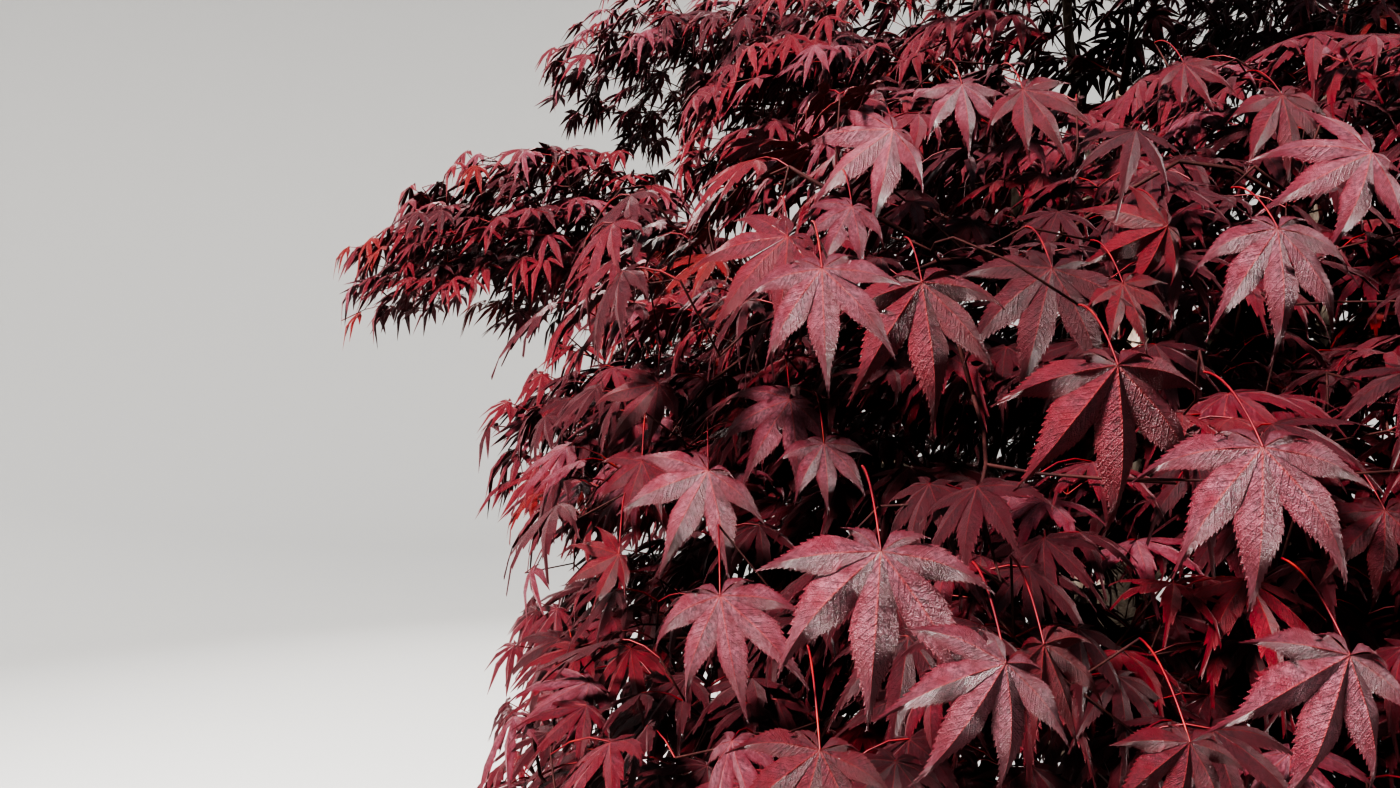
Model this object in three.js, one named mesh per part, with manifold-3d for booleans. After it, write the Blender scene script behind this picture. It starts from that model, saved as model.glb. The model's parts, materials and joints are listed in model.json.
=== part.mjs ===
// A red japanese maple, about two metres tall, grown in a plain round clay pot.
//
// Millimetres, +Z up. The origin is the middle of the pot's flat underside, and the side towards -Y is the
// front. A short winding trunk carries the boughs, and each bough ends in one mass of foliage. A mass is a
// dome that droops at its rim. One stem runs through it, and twigs leave that stem for evenly spread places
// under the dome. Each twig carries lobed leaves that hang outwards. A leaf is larger than life: it stands
// for the leaves around it.

import * as THREE from "three";
import { mergeVertices } from "three/addons/utils/BufferGeometryUtils.js";
import Module from "manifold-3d";

const wasm = await Module();
wasm.setup();

// Driving dimensions, in millimetres and degrees
const GAP = 0.3; // between two pieces that rest on each other
const BETWEEN_LIMBS = GAP * 1.4; // wider, as their sides aren't square to each other
const POT = { height: 450, foot: 222, rim: 305, wall: 26, floor: 34, chamfer: 9, sides: 36 };
const LIP = { height: 58, proud: 16, slope: 0.6 };
const SOIL = { belowRim: 32, crown: 16, sides: 24 };
const TRUNK = { height: 800, base: 37, top: 17, sides: 15, rings: 10 };
const FLARE = { wider: 0.95, height: 46, buttresses: 5, buttress: 0.24, turned: 0.6 };
const BOUGH = { thick: 0.62, tip: 6.5, sides: 5, rings: 6 };
const STEM = { root: 6.5, tip: 3, sides: 4, rings: 4 };
const STEM_JOINTS = [0.2, 0.35, 0.5, 0.65, 0.8, 0.98]; // shares of a stem's length where twigs may leave it
const MOST_TRIES = 90; // places tried for one mass's twigs

// A twig ends within a share of its mass's reach, at a depth from high to low below the dome. A further
// twig may fork from it at a share of its length, and wayBack makes twigs choose joints with a short way to
// the bough.
const TWIG = { root: 0.8, tip: 2.2, sunk: 0.2, reach: 0.86, high: 0.08, low: 0.68, fork: 0.55, wayBack: 0.6 };

// Leaves stand at a twig's end and in pairs along it, the last pair clear of the twig's joint.
const LEAF = { length: 178, thick: 8, cup: 0.28, base: 0.1, sideAngle: 75, spacing: 80, clearOfJoint: 30 };
const LEAVES_IN_A_MASS = 13;

// How leaves differ: turned and rolled by up to half an angle each way, and hanging more at the mass's rim.
// The first few poses tried have full length, and the later ones are shorter.
const POSE = { tries: 9, turn: 50, roll: 40, droop: 10, rimDroop: 40, droopSpread: 34 };
const LENGTHS = { longest: 1.06, shortest: 0.8, fullPoses: 4, later: 0.85 };

// The masses of foliage, each a dome. at is the x and y of its middle and the height of its top. size is
// how far it spreads away from the trunk and sideways, how far its rim hangs below its top, and how deep it
// is. from is the limb that its bough leaves, and the share of that limb's length where it leaves.
const MASSES = [
  { name: "front_low", at: [-330, -530, 1110], size: [330, 350, 200, 320], from: ["trunk", 0.3] },
  { name: "front_mid", at: [-290, -500, 1310], size: [350, 360, 150, 280], from: ["trunk", 0.5] },
  { name: "front_top", at: [40, -340, 1370], size: [300, 400, 110, 240], from: ["trunk", 0.66] },
  { name: "front_centre", at: [-30, -570, 1190], size: [300, 310, 150, 310], from: ["trunk", 0.42] },
  { name: "left_low", at: [-430, -130, 1040], size: [290, 310, 130, 270], from: ["trunk", 0.26] },
  { name: "left_mid", at: [-455, -120, 1210], size: [280, 300, 90, 230], from: ["trunk", 0.4] },
  { name: "left_back", at: [-720, 290, 1450], size: [310, 280, 100, 220], from: ["trunk", 0.74] },
  { name: "left_upper", at: [-290, 130, 1620], size: [260, 300, 110, 250], from: ["left_back", 0.32] },
  { name: "back_left", at: [-430, 560, 1250], size: [310, 330, 130, 350], from: ["trunk", 0.48] },
  { name: "upper_left", at: [-440, 430, 1725], size: [340, 340, 80, 230], from: ["crown_top", 0.3] },
  { name: "crown_top", at: [0, 190, 1960], size: [350, 370, 150, 270], from: ["trunk", 0.97] },
  { name: "front_upper", at: [-20, -70, 1690], size: [330, 360, 120, 250], from: ["trunk", 0.84] },
  { name: "upper_right", at: [430, 320, 1790], size: [330, 340, 130, 250], from: ["crown_top", 0.42] },
  { name: "right_upper", at: [390, -100, 1650], size: [300, 330, 120, 240], from: ["right_mid", 0.36] },
  { name: "back_upper", at: [10, 610, 1620], size: [310, 400, 140, 270], from: ["trunk", 0.8] },
  { name: "back_low", at: [120, 560, 1240], size: [310, 340, 130, 380], from: ["trunk", 0.36] },
  { name: "right_back", at: [580, 410, 1400], size: [300, 340, 140, 270], from: ["right_mid", 0.5] },
  { name: "right_mid", at: [620, -60, 1430], size: [310, 340, 130, 260], from: ["trunk", 0.7] },
  { name: "right_low", at: [540, 90, 1090], size: [310, 340, 160, 320], from: ["trunk", 0.36] },
  { name: "right_front", at: [370, -460, 1240], size: [330, 340, 170, 310], from: ["trunk", 0.56] },
];

const COLOURS = { clay: 0xa8664a, soil: 0x3d2b20, bark: 0x6f6358, leaf: 0x6e1c2b };

const UP = new THREE.Vector3(0, 0, 1);
const point = (x, y, z) => new THREE.Vector3(x, y, z);
const radians = THREE.MathUtils.degToRad;
const { clamp, lerp } = THREE.MathUtils;

function material(colour, roughness) {
  return new THREE.MeshStandardMaterial({ color: colour, roughness, metalness: 0 });
}

// Seeded places that fill a cube evenly, one after the other, and seeded chances between 0 and 1
const EVEN_STEPS = [0.8191725134, 0.6710436067, 0.5497004779];

function evenPlace(n, seed) {
  return EVEN_STEPS.map((step, axis) => (0.5 + seed * 0.137 * (axis + 1) + n * step) % 1);
}

function chance(n, seed, kind) {
  const mixed = Math.sin(n * 12.9898 + seed * 78.233 + kind * 37.719) * 43758.5453;
  return mixed - Math.floor(mixed);
}

// A closed geometry as a solid, and back
function solidOf(geometry) {
  const bare = geometry.clone();
  bare.deleteAttribute("normal");
  bare.deleteAttribute("uv");
  const merged = mergeVertices(bare, 1e-4);
  const mesh = new wasm.Mesh({
    numProp: 3,
    vertProperties: new Float32Array(merged.attributes.position.array),
    triVerts: new Uint32Array(merged.index.array),
  });
  return new wasm.Manifold(mesh);
}

function geometryOf(solid) {
  const mesh = solid.getMesh();
  const corners = new Float32Array(mesh.numVert * 3);
  for (let i = 0; i < mesh.numVert; i += 1) {
    corners.set(mesh.vertProperties.subarray(i * mesh.numProp, i * mesh.numProp + 3), i * 3);
  }
  const geometry = new THREE.BufferGeometry();
  geometry.setAttribute("position", new THREE.BufferAttribute(corners, 3));
  geometry.setIndex(new THREE.BufferAttribute(new Uint32Array(mesh.triVerts), 1));
  geometry.computeVertexNormals();
  return geometry;
}

function largestBody(solid) {
  const bodies = solid.decompose();
  return bodies.reduce((best, body) => (body.volume() > best.volume() ? body : best));
}

const overlaps = (solid, others) => others.some((other) => solid.intersect(other).volume() > 0);

// A closed tube of rings along a curve. radiusAt gives the radius for a share of the length and an angle.
function tube(curve, radiusAt, sides, rings) {
  const frames = curve.computeFrenetFrames(rings, false);
  const corners = [];
  const faces = [];
  for (let i = 0; i <= rings; i += 1) {
    const centre = curve.getPointAt(i / rings);
    for (let j = 0; j < sides; j += 1) {
      const angle = (2 * Math.PI * j) / sides;
      const out = frames.normals[i].clone().multiplyScalar(Math.cos(angle));
      out.addScaledVector(frames.binormals[i], Math.sin(angle));
      corners.push(...centre.clone().addScaledVector(out, radiusAt(i / rings, angle)).toArray());
    }
  }
  for (let i = 0; i < rings; i += 1) {
    for (let j = 0; j < sides; j += 1) {
      const [a, b] = [i * sides + j, i * sides + ((j + 1) % sides)];
      faces.push(a, b, b + sides, a, b + sides, a + sides);
    }
  }
  const last = rings * sides;
  for (let j = 1; j < sides - 1; j += 1) {
    faces.push(0, j + 1, j, last, last + j, last + j + 1);
  }
  const geometry = new THREE.BufferGeometry();
  geometry.setAttribute("position", new THREE.BufferAttribute(new Float32Array(corners), 3));
  geometry.setIndex(faces);
  return geometry;
}

// The middle of a tube at a share of its length, where its rings stand on the curve and its sides are
// straight.
function middleOf(curve, rings, share) {
  const ring = Math.min(Math.floor(share * rings), rings - 1);
  return curve.getPointAt(ring / rings).lerp(curve.getPointAt((ring + 1) / rings), share * rings - ring);
}

function taper(from, to) {
  return (share) => lerp(from, to, share);
}

// The pot: a turned shell with a flat underside and a thick lip
const POT_PROFILE = [
  [0, 0],
  [POT.foot - POT.chamfer, 0],
  [POT.foot, POT.chamfer],
  [POT.rim - LIP.proud, POT.height - LIP.height],
  [POT.rim, POT.height - LIP.height + LIP.proud * LIP.slope],
  [POT.rim, POT.height - POT.chamfer],
  [POT.rim - POT.chamfer, POT.height],
  [POT.rim - POT.wall + POT.chamfer * 0.5, POT.height],
  [POT.rim - POT.wall, POT.height - POT.chamfer * 0.5],
  [potInnerRadius(POT.floor), POT.floor],
  [0, POT.floor],
];

// The radius inside the pot's wall at a height, which widens evenly from its floor to its lip.
function potInnerRadius(height) {
  return lerp(POT.foot - POT.wall, POT.rim - POT.wall, height / (POT.height - POT.chamfer * 0.5));
}

// A profile of [radius, height] pairs from the axis to the axis, turned round Z
function turned(profile, sides) {
  const outline = profile.map(([radius, height]) => new THREE.Vector2(radius, height));
  return new THREE.LatheGeometry(outline, sides).rotateX(Math.PI / 2);
}

const SOIL_TOP = POT.height - SOIL.belowRim + SOIL.crown;

function soilGeometry() {
  const rimHeight = POT.height - SOIL.belowRim;
  const bottom = POT.floor + GAP;
  const inside = Math.cos(Math.PI / SOIL.sides); // keeps the corners off the wall's flats
  const radiusAt = (height) => (potInnerRadius(height) - 2 * GAP) * inside;
  const profile = [
    [0, bottom],
    [radiusAt(bottom), bottom],
    [radiusAt(rimHeight), rimHeight],
    [radiusAt(rimHeight) * 0.55, rimHeight + SOIL.crown * 0.8],
    [TRUNK.base * (1 + FLARE.wider) * 1.5, SOIL_TOP],
    [0, SOIL_TOP],
  ];
  return turned(profile, SOIL.sides);
}

// The trunk rises straight from the soil, then bends one way and back. Its foot flares into buttresses.
const TRUNK_FOOT = SOIL_TOP + GAP;
const trunkCurve = new THREE.CatmullRomCurve3([
  point(0, 0, TRUNK_FOOT),
  point(0, 0, TRUNK_FOOT + TRUNK.height * 0.06),
  point(-22, -16, TRUNK_FOOT + TRUNK.height * 0.34),
  point(-8, -4, TRUNK_FOOT + TRUNK.height * 0.64),
  point(14, 26, TRUNK_FOOT + TRUNK.height),
]);

function trunkRadius(share, angle = 0, grown = 0) {
  const flare = FLARE.wider * Math.exp((-share * TRUNK.height) / FLARE.height);
  const buttress = 1 + FLARE.buttress * flare * Math.cos(FLARE.buttresses * angle + FLARE.turned);
  return lerp(TRUNK.base, TRUNK.top, share) * (1 + flare) * buttress + grown;
}

// A mass with its parts named and its own frame: heading points away from the trunk, and aside to its left.
// The mass at the crown's top stands over the trunk, so it gets a heading of its own.
function withFrame({ name, at, size, from }, seed) {
  const [x, y, top] = at;
  const [along, across, droop, deep] = size;
  const [parent, share] = from;
  const heading = (name === "crown_top" ? point(-0.3, -1, 0) : point(x, y, 0)).normalize();
  const aside = point(-heading.y, heading.x, 0);
  const middle = point(x, y, 0);
  return { name, seed, middle, top, along, across, droop, deep, parent, share, heading, aside };
}

// The place in a mass at shares of its reach along and aside, and a share of its depth below the dome.
function placeIn(mass, along, aside, below) {
  const height = mass.top - mass.droop * (along * along + aside * aside) - mass.deep * below;
  const place = mass.middle.clone().addScaledVector(mass.heading, along * mass.along);
  return place.addScaledVector(mass.aside, aside * mass.across).setZ(height);
}

// How far out of a mass a place lies: 0 at its heart, 1 at its skin.
function levelIn(mass, place) {
  const offset = place.clone().sub(mass.middle).setZ(0);
  const flat = (offset.dot(mass.heading) / mass.along) ** 2 + (offset.dot(mass.aside) / mass.across) ** 2;
  const heart = mass.top - mass.droop * flat - mass.deep / 2;
  const upright = (place.z - heart) / (mass.deep / 2);
  return Math.sqrt(flat ** 2 + upright ** 4) ** 0.5;
}

const masses = MASSES.map(withFrame);

// A place keeps to a mass if it is inside it and no other mass holds it more closely.
function keepsTo(mass, place) {
  const level = levelIn(mass, place);
  if (level > 1) return false;
  return masses.every((other) => other === mass || levelIn(other, place) > level + 0.02);
}

// Where a bough ends and the mass's stem takes over, and the way that the stem sets off.
const entryOf = (mass) => placeIn(mass, -0.55, 0, 0.72);
const entryWay = (mass) => mass.heading.clone().setZ(0.3).normalize();

function boughCurve(mass, parentCurve) {
  const start = middleOf(parentCurve, mass.parent === "trunk" ? TRUNK.rings : BOUGH.rings, mass.share);
  const end = entryOf(mass);
  const span = start.distanceTo(end);
  const leave = parentCurve.getTangentAt(mass.share).multiplyScalar(0.8);
  leave.add(end.clone().sub(start).setZ(0).normalize());
  const firstPull = start.clone().addScaledVector(leave.normalize(), span * 0.36);
  const lastPull = end.clone().addScaledVector(entryWay(mass), -span * 0.34);
  return new THREE.CubicBezierCurve3(start, firstPull, lastPull, end);
}

// Limbs are the trunk and the boughs. Each bough is cut back from those before it, so that it meets its
// parent, and its neighbours at the fork, a little clear.
function growLimbs() {
  const trunkGrownAt = (share, angle) => trunkRadius(share, angle, BETWEEN_LIMBS);
  const trunk = solidOf(tube(trunkCurve, trunkRadius, TRUNK.sides, TRUNK.rings));
  const trunkGrown = solidOf(tube(trunkCurve, trunkGrownAt, TRUNK.sides, TRUNK.rings));
  const limbs = new Map();
  limbs.set("trunk", { curve: trunkCurve, solid: trunk, grown: trunkGrown, radiusAt: trunkRadius });
  const waiting = [...masses];
  while (waiting.length) {
    const mass = waiting.shift();
    const parent = limbs.get(mass.parent);
    if (!parent) {
      waiting.push(mass);
      continue;
    }
    const curve = boughCurve(mass, parent.curve);
    const root = Math.max(parent.radiusAt(mass.share) * BOUGH.thick, BOUGH.tip * 1.25);
    const radiusAt = taper(root, BOUGH.tip);
    const grownAt = (share) => radiusAt(share) + BETWEEN_LIMBS;
    const whole = solidOf(tube(curve, radiusAt, BOUGH.sides, BOUGH.rings));
    const before = [...limbs.values()].map((limb) => limb.grown);
    const solid = largestBody(before.reduce((rest, limb) => rest.subtract(limb), whole));
    const grown = solidOf(tube(curve, grownAt, BOUGH.sides, BOUGH.rings));
    limbs.set(mass.name, { curve, solid, grown, radiusAt });
  }
  return limbs;
}

// A leaf's lobes as [angle from the middle lobe, reach as a share of the leaf's length], with notches
// between them
const LOBES = [
  [0, 1],
  [40, 0.9],
  [84, 0.66],
];
const NOTCH = 0.4;

function leafRim() {
  const half = LOBES.flatMap(([angle, reach], i) => {
    const next = LOBES[i + 1];
    const tip = [angle, reach];
    return next ? [tip, [(angle + next[0]) / 2, NOTCH]] : [tip];
  });
  const otherHalf = half.slice(1).reverse().map(([angle, reach]) => [-angle, reach]);
  return [...otherHalf, ...half, [180, LEAF.base]];
}

// A thin star with its middle at the stalk, its middle lobe along +X and its face up. The lobes' tips hang
// down.
function leafGeometry(length) {
  const rim = leafRim();
  const corners = [0, 0, LEAF.thick / 2, 0, 0, -LEAF.thick / 2];
  for (const [angle, reach] of rim) {
    const [x, y] = [Math.cos(radians(angle)) * reach, Math.sin(radians(angle)) * reach];
    corners.push(x * length, y * length, -LEAF.cup * reach * reach * reach * length);
  }
  const faces = [];
  rim.forEach((_, i) => {
    const [a, b] = [2 + i, 2 + ((i + 1) % rim.length)];
    faces.push(0, a, b, 1, b, a);
  });
  const geometry = new THREE.BufferGeometry();
  geometry.setAttribute("position", new THREE.BufferAttribute(new Float32Array(corners), 3));
  geometry.setIndex(faces);
  return geometry;
}

// A leaf at a place. Its middle lobe points in a level direction, hanging below it by droop, and is rolled
// a bit.
function leafSolid(place, heading, droop, roll, length, base) {
  const ahead = heading.clone().multiplyScalar(Math.cos(droop)).addScaledVector(UP, -Math.sin(droop));
  const across = UP.clone().cross(heading).normalize();
  across.applyAxisAngle(ahead, roll);
  const face = ahead.clone().cross(across);
  const middle = place.clone().addScaledVector(ahead, base * length);
  const matrix = new THREE.Matrix4().makeBasis(ahead, across, face).setPosition(middle);
  return solidOf(leafGeometry(length).applyMatrix4(matrix));
}

// The way that leaves face at a place: outwards from the mass's middle, and away from the trunk.
function leafHeading(mass, place, run) {
  const outward = place.clone().sub(mass.middle).setZ(0).divideScalar(mass.along);
  const ahead = run.clone().setZ(0).normalize();
  return outward.addScaledVector(mass.heading, 0.3).addScaledVector(ahead, 0.4).normalize();
}

// A leaf on a twig, clear of everything given, or nothing. It takes the first clear one of a few seeded
// poses.
function clearLeaf(mass, place, heading, base, n, isClear) {
  const rim = clamp(place.clone().sub(mass.middle).setZ(0).length() / mass.along, 0, 1);
  for (let pose = 0; pose < POSE.tries; pose += 1) {
    const draw = (kind) => chance(n, mass.seed, kind + pose * 5);
    const turned = heading.clone().applyAxisAngle(UP, radians(POSE.turn) * (draw(1) - 0.5));
    const droop = radians(POSE.droop + POSE.rimDroop * rim + POSE.droopSpread * (draw(2) - 0.5));
    const roll = radians(POSE.roll) * (draw(3) - 0.5);
    const shorter = pose < LENGTHS.fullPoses ? 1 : LENGTHS.later;
    const length = LEAF.length * lerp(LENGTHS.longest, LENGTHS.shortest, draw(4)) * shorter;
    const solid = leafSolid(place, turned, droop, roll, length, base);
    if (keepsWhollyTo(mass, solid) && isClear(solid)) return solid;
  }
  return null;
}

const cornersOf = (solid) => {
  const { vertProperties, numVert, numProp } = solid.getMesh();
  const corner = (i) => point(...vertProperties.slice(i * numProp, i * numProp + 3));
  return Array.from({ length: numVert }, (_, i) => corner(i));
};

const keepsWhollyTo = (mass, solid) => cornersOf(solid).every((corner) => keepsTo(mass, corner));

function stemCurve(mass) {
  const start = entryOf(mass).addScaledVector(entryWay(mass), GAP);
  const firstPull = start.clone().addScaledVector(entryWay(mass), mass.along * 0.3);
  const lastPull = placeIn(mass, 0.05, 0.04, 0.36);
  return new THREE.CubicBezierCurve3(start, firstPull, lastPull, placeIn(mass, 0.52, -0.05, 0.5));
}

// The nearest joint to a twig's end, where a shorter way back to the bough counts too
function nearestJoint(joints, end) {
  const cost = (joint) => joint.place.distanceTo(end) + TWIG.wayBack * joint.back;
  return joints.reduce((best, joint) => (cost(joint) < cost(best) ? joint : best));
}

function twigSolid(from, to) {
  const root = from.clone().addScaledVector(to.clone().sub(from).normalize(), -TWIG.sunk);
  return solidOf(tube(new THREE.LineCurve3(root, to), taper(TWIG.root, TWIG.tip), 3, 1));
}

// The place where the nth twig of a mass ends
function twigEnd(mass, n) {
  const [turn, out, below] = evenPlace(n, mass.seed);
  const reach = Math.sqrt(out) * TWIG.reach;
  const angle = 2 * Math.PI * turn;
  const depth = TWIG.high + (TWIG.low - TWIG.high) * below;
  return placeIn(mass, Math.cos(angle) * reach, Math.sin(angle) * reach, depth);
}

// The leaves along a twig in pairs, those that have room. run leads from the twig's joint to its end.
function sideLeaves(mass, end, run, heading, n, isClear) {
  const way = run.clone().normalize();
  const leaves = [];
  for (let back = LEAF.spacing; back < run.length() - LEAF.clearOfJoint; back += LEAF.spacing) {
    for (const side of [1, -1]) {
      const place = end.clone().addScaledVector(way, -back);
      const sideHeading = heading.clone().applyAxisAngle(UP, side * radians(LEAF.sideAngle));
      const isFree = (solid) => isClear(solid) && !overlaps(solid, leaves);
      const leaf = clearLeaf(mass, place, sideHeading, LEAF.base * 0.93, n * 3 + side, isFree);
      if (leaf) leaves.push(leaf);
    }
  }
  return leaves;
}

// One mass: its stem, and twigs grown in order of the even places, each with a leaf at its end and pairs at
// its sides where there is room. No leaf meets another leaf or any limb. All of it is fused into one solid.
function growMass(mass, stem, obstacles) {
  const joints = STEM_JOINTS.map((share) => ({
    place: middleOf(stem.curve, STEM.rings, share),
    back: share * stem.curve.getLength(),
  }));
  const wood = [stem.solid];
  const leaves = [];
  for (let n = 1; n <= MOST_TRIES && leaves.length < LEAVES_IN_A_MASS; n += 1) {
    const end = twigEnd(mass, n);
    const joint = nearestJoint(joints, end);
    const twig = twigSolid(joint.place, end);
    if (!keepsWhollyTo(mass, twig) || overlaps(twig, [...obstacles, ...leaves])) continue;
    const isClear = (solid) => !overlaps(solid, [...obstacles, ...leaves, ...wood]);
    const run = end.clone().sub(joint.place);
    const heading = leafHeading(mass, end, run);
    const endLeaf = clearLeaf(mass, end, heading, LEAF.base / 2, n, isClear);
    if (!endLeaf) continue;
    leaves.push(endLeaf);
    leaves.push(...sideLeaves(mass, end, run, heading, n, isClear));
    wood.push(twig);
    const fork = joint.place.clone().lerp(end, TWIG.fork);
    joints.push({ place: fork, back: joint.back + joint.place.distanceTo(fork) });
  }
  return largestBody(wasm.Manifold.union([...wood, ...leaves]));
}

function buildTree() {
  const group = new THREE.Group();
  const add = (name, solid, finish) => {
    const mesh = new THREE.Mesh(geometryOf(solid), finish);
    mesh.name = name;
    group.add(mesh);
  };
  const clay = material(COLOURS.clay, 0.85);
  const bark = material(COLOURS.bark, 0.8);
  const leafRed = material(COLOURS.leaf, 0.5);

  const pot = solidOf(turned(POT_PROFILE, POT.sides));
  const soil = solidOf(soilGeometry());
  add("pot", pot, clay);
  add("soil", soil, material(COLOURS.soil, 0.95));

  const limbs = growLimbs();
  for (const [name, limb] of limbs) {
    add(name === "trunk" ? name : `bough_${name}`, limb.solid, bark);
  }

  const stems = masses.map((mass) => {
    const curve = stemCurve(mass);
    return { curve, solid: solidOf(tube(curve, taper(STEM.root, STEM.tip), STEM.sides, STEM.rings)) };
  });
  const wood = [pot, soil, ...[...limbs.values()].map((limb) => limb.solid)];
  const done = [];
  masses.forEach((mass, i) => {
    const otherStems = stems.filter((_, j) => j !== i).map((stem) => stem.solid);
    const solid = growMass(mass, stems[i], [...wood, ...otherStems, ...done]);
    done.push(solid);
    add(`foliage_${mass.name}`, solid, leafRed);
  });
  return group;
}

export default buildTree();
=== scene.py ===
import json
from math import cos, dist, hypot, pi, radians, sin, sqrt

import bpy
import numpy as np
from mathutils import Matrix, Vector
from numpy.linalg import norm

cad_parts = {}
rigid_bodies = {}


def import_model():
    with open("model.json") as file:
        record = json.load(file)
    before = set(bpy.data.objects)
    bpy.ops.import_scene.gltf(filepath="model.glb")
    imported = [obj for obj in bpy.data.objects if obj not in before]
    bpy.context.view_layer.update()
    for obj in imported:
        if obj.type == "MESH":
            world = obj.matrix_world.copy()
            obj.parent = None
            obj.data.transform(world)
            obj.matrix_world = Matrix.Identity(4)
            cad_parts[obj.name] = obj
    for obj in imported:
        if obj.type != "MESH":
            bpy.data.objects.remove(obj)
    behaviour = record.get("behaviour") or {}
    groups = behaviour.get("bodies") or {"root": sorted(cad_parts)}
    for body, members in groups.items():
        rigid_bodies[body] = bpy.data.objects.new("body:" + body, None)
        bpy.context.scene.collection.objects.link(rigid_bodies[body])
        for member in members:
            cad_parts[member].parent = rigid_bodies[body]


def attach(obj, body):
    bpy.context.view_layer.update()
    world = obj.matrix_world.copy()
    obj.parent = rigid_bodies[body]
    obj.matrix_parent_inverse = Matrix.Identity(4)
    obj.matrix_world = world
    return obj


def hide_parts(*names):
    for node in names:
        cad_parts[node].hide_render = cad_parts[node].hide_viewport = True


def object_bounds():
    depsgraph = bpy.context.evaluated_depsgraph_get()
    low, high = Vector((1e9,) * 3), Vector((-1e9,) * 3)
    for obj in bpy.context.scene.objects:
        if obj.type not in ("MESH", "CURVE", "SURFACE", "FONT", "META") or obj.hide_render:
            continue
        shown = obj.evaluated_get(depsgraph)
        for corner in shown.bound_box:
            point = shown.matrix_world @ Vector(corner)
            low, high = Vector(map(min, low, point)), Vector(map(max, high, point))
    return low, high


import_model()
start_bounds = [list(corner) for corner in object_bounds()]

MM = 0.001

# The masses of foliage, as in the part's source: middle x, y and top height, reach away from the trunk and
# sideways, how far the rim hangs, how thick, and the limb that the bough leaves, with the share of that
# limb's length where it leaves.
MASSES = {
    "front_low": ((-330, -530, 1110), (330, 350), 200, 320, ("trunk", 0.3)),
    "front_mid": ((-290, -500, 1310), (350, 360), 150, 280, ("trunk", 0.5)),
    "front_top": ((40, -340, 1370), (300, 400), 110, 240, ("trunk", 0.66)),
    "front_centre": ((-30, -570, 1190), (300, 310), 150, 310, ("trunk", 0.42)),
    "left_low": ((-430, -130, 1040), (290, 310), 130, 270, ("trunk", 0.26)),
    "left_mid": ((-455, -120, 1210), (280, 300), 90, 230, ("trunk", 0.4)),
    "left_back": ((-720, 290, 1450), (310, 280), 100, 220, ("trunk", 0.74)),
    "left_upper": ((-290, 130, 1620), (260, 300), 110, 250, ("left_back", 0.32)),
    "back_left": ((-430, 560, 1250), (310, 330), 130, 350, ("trunk", 0.48)),
    "upper_left": ((-440, 430, 1725), (340, 340), 80, 230, ("crown_top", 0.3)),
    "crown_top": ((0, 190, 1960), (350, 370), 150, 270, ("trunk", 0.97)),
    "front_upper": ((-20, -70, 1690), (330, 360), 120, 250, ("trunk", 0.84)),
    "upper_right": ((430, 320, 1790), (330, 340), 130, 250, ("crown_top", 0.42)),
    "right_upper": ((390, -100, 1650), (300, 330), 120, 240, ("right_mid", 0.36)),
    "back_upper": ((10, 610, 1620), (310, 400), 140, 270, ("trunk", 0.8)),
    "back_low": ((120, 560, 1240), (310, 340), 130, 380, ("trunk", 0.36)),
    "right_back": ((580, 410, 1400), (300, 340), 140, 270, ("right_mid", 0.5)),
    "right_mid": ((620, -60, 1430), (310, 340), 130, 260, ("trunk", 0.7)),
    "right_low": ((540, 90, 1090), (310, 340), 160, 320, ("trunk", 0.36)),
    "right_front": ((370, -460, 1240), (330, 340), 170, 310, ("trunk", 0.56)),
}
# Parts of the crown with their own tints: more painted sheen at the front, painted back-light in the sunlit
# masses and painted shade in the high ones
FRONT = ("front_low", "front_mid", "front_top", "front_centre", "right_front")
SUNLIT = ("left_back", "left_mid", "left_upper", "upper_left")
HIGH = ("crown_top", "front_upper", "upper_right", "right_upper", "back_upper")

POT = {"height": 450, "foot": 222, "rim": 305, "lip": 58, "proud": 16, "wall": 26, "chamfer": 9}
SOIL_RIM = POT["height"] - 32  # the potting mix at the pot's wall
SOIL_TOP = SOIL_RIM + 16  # and in the middle
SOIL_FALL = 17  # how far its rough top falls from the middle to the wall
TRUNK_FOOT = SOIL_TOP + 0.3
TRUNK = {"height": 800, "base": 37, "top": 17, "flare": 0.95, "flare_height": 46, "buttresses": 5}
# The part's solid limbs are straight between this many rings
TRUNK_RINGS = 10
BOUGH_RINGS = 6
# A bough: its root as a share of the parent's radius, its tip's radius, the least root as a share of that,
# and how straight it leaves its parent and arrives at its mass, as shares of its span
BOUGH = {"thick": 0.62, "tip": 6.5, "least": 1.25, "leave": 0.36, "arrive": 0.34}
ENTRY = (-0.55, 0, 0.72)  # where a bough's tip meets its mass, as shares along, aside and below

# The photo's camera, in millimetres: it looks along +Y, tipped a little upwards
CAMERA_AT = np.array([-500.0, -1250.0, 1050.0])
CAMERA_TILT = radians(1.9)
LENS = 28
SENSOR = 36
PHOTO_SIZE = (1400, 788)

TWIGS_IN_A_MASS = 209
TWIGS_IN_A_FRONT_MASS = 364
LAYER_DEPTH = 80  # the twigs of a mass lie in flat sprays, one over the other, about this far apart
JOINT_SPACING = 40  # between two pairs of leaves along a twig
# Some masses are opened between two shares of their depth, by leaving out a share of the twigs there: in the
# middle where the photo shows the dark inside, and at the bottom where it shows the sky
OPENED = {
    "front_mid": (0.33, 0.67, 0.6),
    "front_top": (0.33, 0.67, 0.6),
    "upper_left": (0.67, 1.0, 0.9),
    "front_upper": (0.45, 1.0, 0.85),
}
TO_THE_LIGHT = np.array([-0.45, -0.15, 0])  # the leaves of the whole crown turn a little this way
# the leaves inside a mass are dealt darker tints as painted shade
INSIDE = 0.72  # how far out a mass counts as its inside: 0 at its heart, 1 at its skin
HIGHEST = start_bounds[1][2] / MM + 40  # the crown ends a little above the top of the part's solids
LEAF_SIZE = {"low": 54, "high": 48, "high_above": 1700}  # the top of the crown has smaller leaves

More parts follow.
